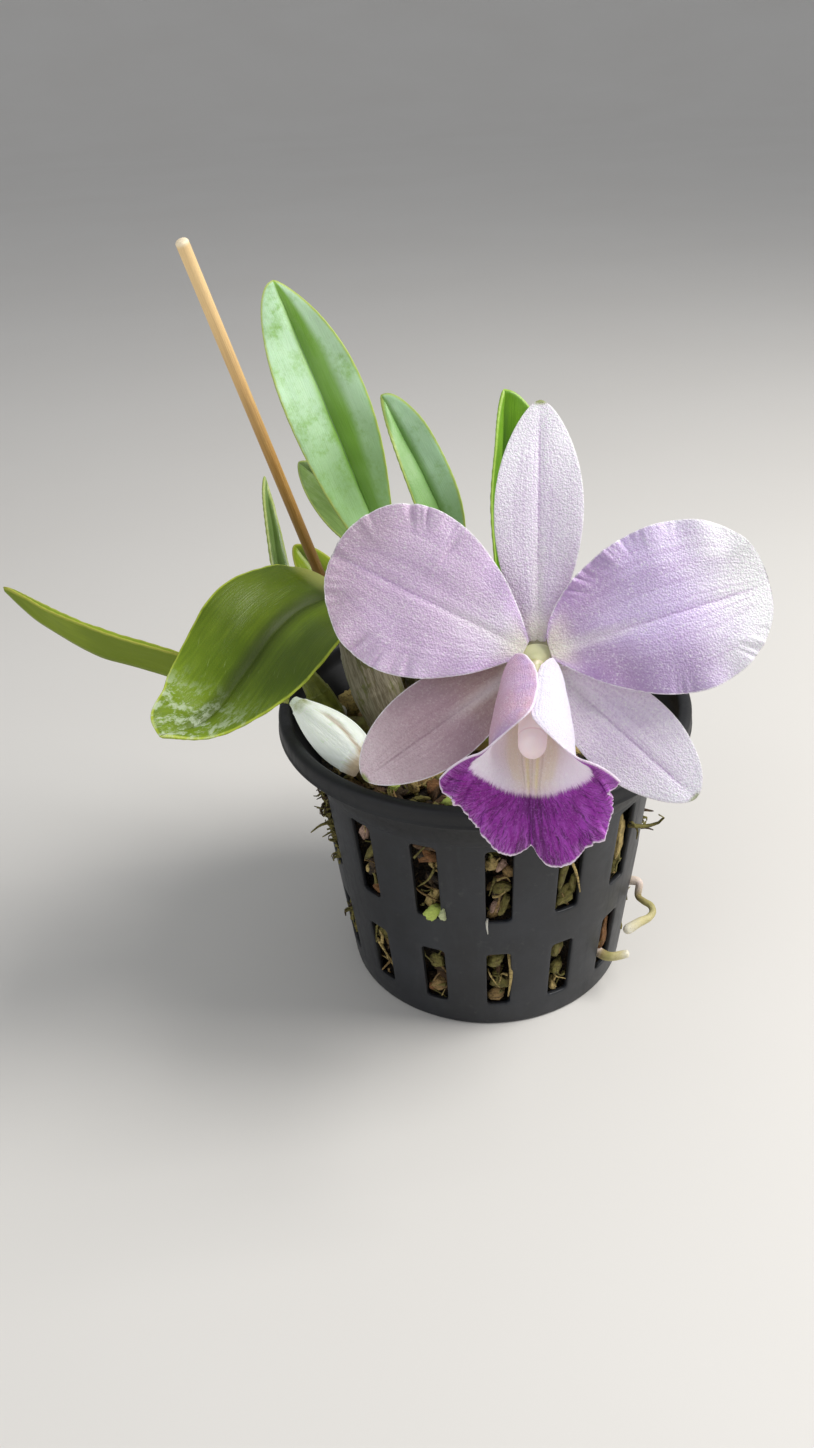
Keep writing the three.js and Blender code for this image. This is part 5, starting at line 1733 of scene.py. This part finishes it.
SCRAPS = (
    Scrap(14, 1, 0.8, 0.2, (4.2, 3.4, 2.2), Bit.RUST, 0.5),
    Scrap(14, 1, 0.97, -0.6, (3.4, 2.4, 2.0), Bit.BROWN, 0.2),
    Scrap(0, 1, 0.76, 0.6, (2.3, 1.4, 1.6), Bit.PINK, 1.2),
    Scrap(0, 1, 0.46, 0.8, (3.4, 2.2, 2.0), Bit.MOSS, 0.2),
    Scrap(0, 1, 0.16, -1.2, (3.8, 2.0, 2.0), Bit.PINK, 1.2),
    Scrap(0, 1, 0.18, 1.6, (4.0, 1.9, 2.0), Bit.MOSS, 1.3),
    Scrap(13, 1, 0.88, -0.4, (4.2, 2.0, 2.0), Bit.PINK, 1.3),
    Scrap(13, 1, 0.56, 0.4, (4.0, 2.4, 2.0), Bit.MOSS, 1.0),
    Scrap(13, 1, 0.3, -1.6, (1.6, 1.3, 1.4), Bit.STRAW),
    Scrap(13, 1, 0.08, 1.0, (3.4, 2.4, 2.0), Bit.RUST, 0.9),
    Scrap(1, 1, 0.5, -0.8, (6.4, 2.4, 2.0), Bit.MOSS, 1.3),
    Scrap(1, 1, 0.12, 0.4, (3.6, 2.2, 2.0), Bit.MOSS, 0.3),
    Scrap(2, 1, 0.52, 0.9, (11.0, 3.0, 1.2), Bit.STRAW, 1.5),
    Scrap(2, 1, 0.2, 0.3, (5.0, 2.6, 1.4), Bit.MOSS, 1.4),
    Scrap(13, 0, 0.86, 0.0, (3.6, 2.8, 2.0), Bit.MOSS, 0.7),
    Scrap(14, 0, 0.62, 0.0, (3.6, 3.2, 2.2), Bit.MOSS, 0.2),
    Scrap(14, 0, 0.14, -1.8, (2.0, 1.5, 1.5), Bit.RUST, 0.2),
    Scrap(14, 0, 0.2, 1.0, (3.4, 2.8, 2.0), Bit.TAN, 0.4),
    Scrap(0, 0, 0.82, -0.8, (3.2, 2.4, 1.8), Bit.MOSS, 0.4),
    Scrap(0, 0, 0.16, -0.4, (3.8, 2.8, 2.0), Bit.TAN, 0.3),
    Scrap(1, 0, 0.84, 0.0, (3.6, 3.0, 2.0), Bit.MOSS, 1.1),
    Scrap(1, 0, 0.42, 0.6, (3.6, 2.8, 2.0), Bit.MOSS, 0.4),
    Scrap(1, 0, 0.1, -0.8, (3.6, 1.3, 1.3), Bit.STRAW, -1.1),
    Scrap(2, 0, 0.5, 0.6, (8.6, 2.6, 1.3), Bit.RUST, 1.45),
)


@dataclass(frozen=True)
class Tuft:
    """Moss that hangs out of a slot: the slot, how high in it, how many strands and how far they reach."""

    column: int
    row: int
    height: float
    count: int
    reach: float


TUFTS = (
    Tuft(12, 1, 0.97, 12, 1.7), Tuft(12, 1, 0.78, 14, 1.5), Tuft(12, 1, 0.55, 12, 1.8),
    Tuft(12, 1, 0.3, 12, 1.3), Tuft(12, 1, 0.1, 8, 0.9), Tuft(12, 0, 0.7, 8, 1.0), Tuft(3, 1, 0.3, 8, 1.2),
    Tuft(7, 1, 0.4, 10, 1.4), Tuft(9, 0, 0.6, 10, 1.4), Tuft(5, 1, 0.7, 8, 1.2),
)


@dataclass(frozen=True)
class Lump:
    """A lump that shows outside: its middle, half sizes and kind."""

    at: Point
    size: Point
    kind: Bit


@dataclass(frozen=True)
class Strand:
    """A strand that shows outside: its points, thickness and kind."""

    at: tuple[Point, ...]
    radius: float
    kind: Bit


def scrap_shape(points: Array, faces: list[tuple[int, ...]], grain: Array, kind: Bit) -> Shape:
    """A shape with the medium's marks: the places that its grain follows, and its hue."""
    marks = {f"grain_{axis}": grain[:, k] for k, axis in enumerate("xyz")}
    return Shape(points, faces, marks | {"hue": np.full(len(points), kind.value)})


def drawn_in(points: Array, share: Array) -> Array:
    """Points moved level towards the pot's axis, to a share of their distance."""
    return points * np.stack([share, share, np.ones_like(share)], axis=-1)


def ball(rings: int, sides: int) -> Shape:
    """A ball of radius 1 that chips are cut from."""
    rise, turn = np.linspace(-math.pi / 2, math.pi / 2, rings), around(sides)
    return lathe(list(zip(np.cos(rise), np.sin(rise))), turn).welded()


class Scraps:
    """Makes the scraps of the medium with one source of chance."""

    CUTS = 11
    CUT_DEPTHS = (0.38, 0.85)
    GRAIN_SPREAD = 40.0
    SURFACE_SIZES = ((3.6, 2.6, 1.5), (6.2, 4.2, 2.8))
    SLOT_SIZES = ((2.4, 1.2, 0.8), (5.4, 2.6, 2.2))
    TUFT_SIZES = ((1.2, 0.8, 0.5), (2.0, 1.3, 0.9))
    SURFACE = (Bit.DARK, Bit.BROWN, Bit.BROWN, Bit.TAN, Bit.TAN, Bit.STRAW, Bit.MOSS, Bit.MOSS)
    BEHIND_SLOTS = (Bit.CHAR, Bit.DARK, Bit.DARK, Bit.BROWN, Bit.BROWN, Bit.TAN, Bit.MOSS, Bit.MOSS,
                    Bit.STRAW)
    STRANDS = (Bit.MOSS, Bit.MOSS, Bit.MOSS, Bit.STRAW, Bit.TAN)

    def __init__(self, seed: int) -> None:
        """Starts the source of chance and makes the fine and the coarse ball."""
        self.rng = np.random.default_rng(seed)
        self.lump, self.flake = ball(11, 16), ball(7, 10)

    def kind(self, kinds: Sequence[Bit]) -> Bit:
        """One of several kinds."""
        return kinds[self.rng.integers(len(kinds))]

    def level(self, *spreads: float) -> Array:
        """A step straight up or down."""
        return np.array((0, 0, self.rng.normal(*spreads)))

    def chip(self, start: Shape, size: Sequence[float], axes: Array, place: Array, kind: Bit) -> Shape:
        """A chip cut from a ball.

        Args:
            start: the ball.
            size: half lengths along the chip's own axes.
            axes: the directions of those axes.
            place: its middle.
            kind: what it is made of.

        Returns:
            The chip.
        """
        points = start.points.copy()
        normals = unit(self.rng.normal(size=(self.CUTS, 3)))
        for normal, depth in zip(normals, self.rng.uniform(*self.CUT_DEPTHS, self.CUTS)):
            over = points @ normal
            points *= np.where(over > depth, depth / np.maximum(over, 1e-6), 1)[:, None]
        points *= np.array(size) * (1 + 0.06 * self.rng.normal(size=(len(points), 1)))
        grain = points + self.rng.uniform(0, self.GRAIN_SPREAD, 3)
        return scrap_shape(points @ axes + place, start.faces, grain, kind)

    def strand(self, points: Sequence[Point], radius: float, kind: Bit) -> Shape:
        """A tapering strand of moss or fibre."""
        def tapered(t: Array, turn: Array) -> Array:
            """Radius of the strand, which is a little flat."""
            return radius * (1.05 - 0.75 * t) * (1 + 0.3 * np.cos(2 * turn))

        shape = tube(Path.through(points), tapered, 5, 6)
        grain = shape.points + self.rng.uniform(0, self.GRAIN_SPREAD, 3)
        return scrap_shape(shape.points, shape.faces, grain, kind)


@dataclass(frozen=True)
class Medium:
    """Bark chips and moss that fill the pot up to a rough top."""

    pot: NetPot
    top: float = 73.5
    reach: float = 45.0
    spacing: float = 6.4
    slot_chips: int = 9
    slot_strands: int = 9
    mats: int = 60
    mat_strands: int = 6
    outside: float = 0.4
    hollow: float = 5.5
    gap: float = 0.25
    levels: tuple[float, ...] = (3, 7, 8.5, 15, 22, 28, 30, 40, 42, 48, 54, 60, 66, 68)

    def slots(self) -> list[tuple[int, int]]:
        """Column and row of every slot."""
        return list(itertools.product(range(self.pot.columns), range(len(self.pot.slot_rows))))

    def kept_in(self, points: Array) -> Array:
        """Draws points in to the inside of the wall, or to the wall's face where a slot is open."""
        reach, off, inside = self.pot.by_slot(points)
        wall = self.pot.radius(np.minimum(points[:, 2], self.top + 3))
        room = np.minimum(inside, math.radians(self.pot.slot_half) * wall - off * wall)
        depth = self.pot.wall + self.gap
        limit = wall - self.pot.wall - self.gap + (depth + self.outside) * smooth(0.1, 0.9, room)
        return drawn_in(points, np.minimum(1, limit / np.maximum(reach, 1e-6)))

    def pocketed(self, points: Array) -> Array:
        """Presses pockets into the core behind the slots."""
        reach, off, inside = self.pot.by_slot(points)
        depth = self.hollow * smooth(math.radians(8.6), math.radians(6.8), off) * smooth(-1.2, 0.2, inside)
        return drawn_in(points, 1 - depth / np.maximum(reach, 1))

    def surface_chips(self, scraps: Scraps) -> list[Shape]:
        """Chips that lie on top."""
        rng, parts = scraps.rng, []
        count = int(self.reach * 2 / self.spacing) + 1
        for i, j in itertools.product(range(-count, count + 1), repeat=2):
            x, y = np.array((i + 0.5 * (j % 2), j * 0.87)) * self.spacing + rng.normal(0, 0.9, 2)
            if math.hypot(x, y) > self.reach:
                continue
            third = unit(np.array((0, 0, 1.0)) + rng.normal(0, 0.28, 3))
            first = unit(np.cross(third, rng.normal(size=3)))
            size = rng.uniform(*scraps.SURFACE_SIZES)
            place = np.array((x, y, self.top - 1.3 + rng.uniform(-0.9, 1.1)))
            axes = np.stack([first, np.cross(third, first), third])
            parts.append(scraps.chip(scraps.lump, size, axes, place, scraps.kind(scraps.SURFACE)))
        return parts

    def slot_scrap(self, scraps: Scraps, start: Shape, scrap: Scrap, depth: float) -> Shape:
        """A scrap that shows in a slot, so far behind the wall's face."""
        height = self.pot.slot_height(scrap.row, scrap.height)
        out, side = self.pot.ways(scrap.column)
        up = np.array((0, 0, 1.0))
        first = side * math.cos(scrap.lean) + up * math.sin(scrap.lean)
        axes = np.stack([first, np.cross(out, first), out])
        place = out * (self.pot.radius(height) - depth - scrap.size[2]) + side * scrap.side + up * height
        return scraps.chip(start, scrap.size, axes, place, scrap.kind)

    def slot_fill(self, scraps: Scraps) -> list[Shape]:
        """Flakes behind every slot, with the named scraps before them."""
        rng, parts = scraps.rng, []
        for (column, row), k in itertools.product(self.slots(), range(self.slot_chips)):
            height = (k + 0.5 + rng.normal(0, 0.3)) / self.slot_chips
            scrap = Scrap(column, row, height, rng.normal(0, 1.6),
                          tuple(rng.uniform(*scraps.SLOT_SIZES)), scraps.kind(scraps.BEHIND_SLOTS),
                          rng.uniform(-1.5, 1.5))
            parts.append(self.slot_scrap(scraps, scraps.flake, scrap, rng.uniform(1.0, 4.6)))
        return parts + [self.slot_scrap(scraps, scraps.lump, scrap, 0.4) for scrap in SCRAPS]

    def moss(self, scraps: Scraps) -> list[Shape]:
        """Strands of moss and straw that lie behind the slots."""
        rng, parts = scraps.rng, []
        for column, row in self.slots():
            low, high = self.pot.slot_rows[row]
            out, side = self.pot.ways(column)
            for _ in range(self.slot_strands):
                height = rng.uniform(low - 1, high + 1)
                middle = out * (self.pot.radius(height) - rng.uniform(0.4, 3.6)) + (0, 0, height)
                middle = middle + side * rng.normal(0, 1.4)
                half = side * rng.normal(0, 1.6) + scraps.level(0, 2.4) + out * rng.normal(0, 0.8)
                bow = rng.normal(0, 0.5, 3)
                parts.append(scraps.strand((middle - half + bow, middle, middle + half + bow),
                                           rng.uniform(0.22, 0.5), scraps.kind(scraps.STRANDS)))
        return parts

    def moss_mats(self, scraps: Scraps) -> list[Shape]:
        """Mats of moss and straw on top."""
        rng, parts = scraps.rng, []
        for _ in range(self.mats):
            turn, far = rng.uniform(0, 2 * math.pi), self.reach * math.sqrt(rng.uniform(0.05, 0.98))
            foot = np.array((far * math.cos(turn), far * math.sin(turn), self.top + 0.2))
            for _ in range(self.mat_strands):
                start = foot + rng.normal(0, 1.1, 3) * (1, 1, 0.4)
                middle = start + rng.normal(0, 1.5, 3) * (1, 1, 0.3) + (0, 0, 0.8)
                end = middle + rng.normal(0, 1.6, 3) * (1, 1, 0.5)
                parts.append(scraps.strand((start, middle, end), rng.uniform(0.22, 0.45),
                                           scraps.kind(scraps.STRANDS)))
        return parts

    def loose(self, scraps: Scraps) -> list[Shape]:
        """The strands and tufts that hang out of slots."""
        rng = scraps.rng
        parts = [scraps.strand(strand.at, strand.radius, strand.kind) for strand in STRANDS]
        for tuft in TUFTS:
            height = self.pot.slot_height(tuft.row, tuft.height)
            out, side = self.pot.ways(tuft.column)
            foot = out * (self.pot.radius(height) - 1.0) + (0, 0, height)
            for _ in range(tuft.count // 3):
                turned = unit(rng.normal(size=3))
                second = np.cross(turned, out)
                axes = np.stack([turned, unit(second), unit(np.cross(turned, second))])
                place = foot + out * rng.uniform(0.2, 0.6 * tuft.reach) + side * rng.normal(0, 1.2)
                place = place + scraps.level(0, 2.2)
                size = rng.uniform(*scraps.TUFT_SIZES)
                parts.append(scraps.chip(scraps.flake, size, axes, place, Bit.MOSS))
            for _ in range(tuft.count):
                far = tuft.reach * rng.uniform(0.4, 1.0)
                start = foot + side * rng.normal(0, 0.9) + scraps.level(0, 1.8)
                middle = start + out * (0.8 + 0.6 * far) + rng.normal(0, 0.8, 3)
                end = middle + out * 0.3 * far + rng.normal(0, 1.1, 3)
                parts.append(scraps.strand((start, middle, end), rng.uniform(0.35, 0.65),
                                           Bit.MOSS if rng.uniform() < 0.6 else Bit.DARK))
        return parts

    def core(self) -> Shape:
        """The dark body that fills the pot behind the scraps."""
        profile = [(0.01, 3), *((self.pot.radius(z) - self.pot.wall - self.gap, z) for z in self.levels),
                   (self.pot.radius(self.top - 2.6) - self.pot.wall - self.gap, self.top - 2.6),
                   (20, self.top - 1.8), (0.01, self.top - 1.6)]
        core = lathe(profile, around(240))
        points = self.pocketed(core.points)
        return scrap_shape(points, core.faces, points, Bit.CHAR)

    def shape(self) -> Shape:
        """Models the dark core, chips and moss."""
        scraps = Scraps(MEDIUM_SEED)
        shape = Shape.joined([self.core(), *self.surface_chips(scraps), *self.slot_fill(scraps),
                              *self.moss(scraps), *self.moss_mats(scraps)])
        shape.points = self.kept_in(shape.points)
        level = np.eye(3)
        lumps = [scraps.chip(scraps.lump, lump.size, level, np.array(lump.at), lump.kind) for lump in LUMPS]
        return Shape.joined([shape, *lumps, *self.loose(scraps)])

    def build(self) -> None:
        """Builds the medium and dresses it."""
        self.shape().build(
            "bark_and_moss_filling", MediumFinish().material(), "bark_and_moss", "growing_medium")


LUMPS = (
    # The first two lumps are coloured paler than the tan knob they stand for, painted light where the leaves
    # shade them.
    Lump((-38.0, 9.5, 79.0), (4.4, 3.8, 4.8), Bit.STRAW),
    Lump((-40.8, 6.2, 78.0), (2.6, 2.4, 2.8), Bit.WHITE),
    Lump((-17.4, -42.0, 43.7), (3.7, 2.0, 3.0), Bit.LEAFY),
    Lump((-15.0, -43.0, 43.6), (1.7, 1.6, 2.5), Bit.PALE),
    Lump((-38.6, -17.6, 76.2), (4.2, 2.2, 1.4), Bit.PINK),
    Lump((-20.6, -29.4, 76.2), (2.6, 1.6, 2.4), Bit.STRAW),
    Lump((-16.0, -30.2, 76.0), (2.4, 2.6, 1.8), Bit.RUST),
    Lump((-19.0, -34.8, 75.4), (3.6, 1.6, 1.3), Bit.MOSS),
    Lump((-11.5, -36.5, 75.4), (2.8, 1.8, 1.3), Bit.LEAFY),
    Lump((-25.4, -28.6, 75.4), (2.2, 1.6, 1.6), Bit.LEAFY),
)
STRANDS = (
    Strand(((-3.1, -44.6, 42.4), (-3.3, -46.2, 41.6), (-3.1, -46.1, 38.4)), 0.35, Bit.WHITE),
    Strand(((17.6, -40.5, 62), (20.2, -43.9, 56), (21.4, -44.2, 49.5)), 0.5, Bit.STRAW),
    Strand(((3.0, -41.3, 27), (3.3, -43.4, 21), (2.6, -42.6, 12)), 0.6, Bit.STRAW),
    Strand(((36.6, -28.6, 58.6), (41.5, -27.8, 57.4), (45.6, -27.6, 58.6), (46.4, -27.6, 60.4),
            (44.9, -27.4, 60.8)), 0.75, Bit.MOSS),
    Strand(((37.2, -28.4, 60), (39.3, -28.1, 56.5), (39.2, -28.2, 53.6)), 0.6, Bit.MOSS),
    Strand(((-22, 5, 72), (-22.2, 5, 82), (-21.6, 5.4, 91)), 1.0, Bit.MOSS),
)


# Studio


@dataclass(frozen=True)
class Lamp:
    """A soft square light that looks at the plant."""

    name: str
    at: Point
    size: float
    power: float
    tint: tuple[float, float, float]

    def build(self, target: Vector) -> None:
        """Sets the light up."""
        light = bpy.data.lights.new(self.name, "AREA")
        light.shape, light.size, light.energy, light.color = "SQUARE", self.size, self.power, self.tint
        lamp = bpy.data.objects.new(self.name, light)
        lamp.location = self.at
        lamp.rotation_euler = (target - Vector(self.at)).to_track_quat("-Z", "Y").to_euler()
        bpy.context.scene.collection.objects.link(lamp)


@dataclass(frozen=True)
class Studio:
    """Pale floor in millimetres, and soft lights and the camera in metres."""

    eye: Point = (-0.0215, -0.2777, 0.245)
    pitch: float = 31.16
    roll: float = -3.14
    lens: float = 28.54
    sensor: float = 36.0
    clip: Pair = (0.01, 100.0)
    flat: float = 3000.0
    run: float = 5000.0
    rise: float = 4000.0
    sweep_steps: int = 24
    sides: int = 96
    paint: tuple[int, int] = (0xd6d3ce, 0xdcdad6)
    target: Point = (0, 0, 0.1)
    sky: tuple[float, float, float] = (0.86, 0.88, 0.92)
    sky_power: float = 0.48
    lamps: tuple[Lamp, ...] = (
        Lamp("key_light", (0.55, -0.05, 0.75), 0.45, 8.4, (1.0, 0.98, 0.95)),
        Lamp("fill_light", (-0.7, -0.6, 0.5), 0.9, 2.2, (0.95, 0.97, 1.0)),
    )

    def floor(self) -> None:
        """Lays the floor, which sweeps up into a wall far off all round."""
        steps = self.sweep_steps
        sweep = [(self.flat + self.run * k / steps, self.rise * (k / steps) ** 2) for k in range(steps + 1)]
        ground = lathe([(1.0, 0.0), *sweep], around(self.sides))
        middle = tuple(reversed(range(self.sides)))
        mesh = bpy.data.meshes.new("floor")
        mesh.from_pydata((ground.points * MM).tolist(), [], [*ground.faces, middle])
        mesh.shade_smooth()
        g = Graph("floor_paint")
        cloud = g.noise(g.place(), 0.004, 3)
        mesh.materials.append(g.finish(g.mix(cloud, *self.paint), 0.7))
        piece = bpy.data.objects.new("floor", mesh)
        bpy.context.scene.collection.objects.link(piece)

    def camera(self) -> None:
        """Sets the camera up."""
        pitch, roll = math.radians(self.pitch), math.radians(self.roll)
        right, up = Vector((1, 0, 0)), Vector((0, math.sin(pitch), math.cos(pitch)))
        turned = math.cos(roll) * right + math.sin(roll) * up
        top = math.cos(roll) * up - math.sin(roll) * right
        data = bpy.data.cameras.new("camera")
        data.lens, data.sensor_width, data.sensor_fit = self.lens, self.sensor, "AUTO"
        data.clip_start, data.clip_end = self.clip
        piece = bpy.data.objects.new("camera", data)
        axes = Matrix((turned, top, turned.cross(top))).transposed().to_4x4()
        piece.matrix_world = Matrix.Translation(self.eye) @ axes
        bpy.context.scene.collection.objects.link(piece)
        bpy.context.scene.camera = piece

    def build(self) -> None:
        """Builds the floor, the lights and the camera."""
        scene = bpy.context.scene
        scene.view_settings.view_transform = "Standard"
        world = bpy.data.worlds.new("soft_sky")
        world.use_nodes = True
        sky = world.node_tree.nodes["Background"].inputs
        sky["Color"].default_value, sky["Strength"].default_value = (*self.sky, 1.0), self.sky_power
        scene.world = world
        self.floor()
        self.camera()
        for lamp in self.lamps:
            lamp.build(Vector(self.target))


def main() -> None:
    """Builds the studio and the plant in its pot."""
    logging.basicConfig(level=logging.INFO, format="%(message)s")
    pot = NetPot()
    for assembly in (Studio(), pot, Medium(pot), Plant(), Foliage(), Flower()):
        LOG.info("building %s", type(assembly).__name__)
        assembly.build()


if __name__ == "__main__":
    main()
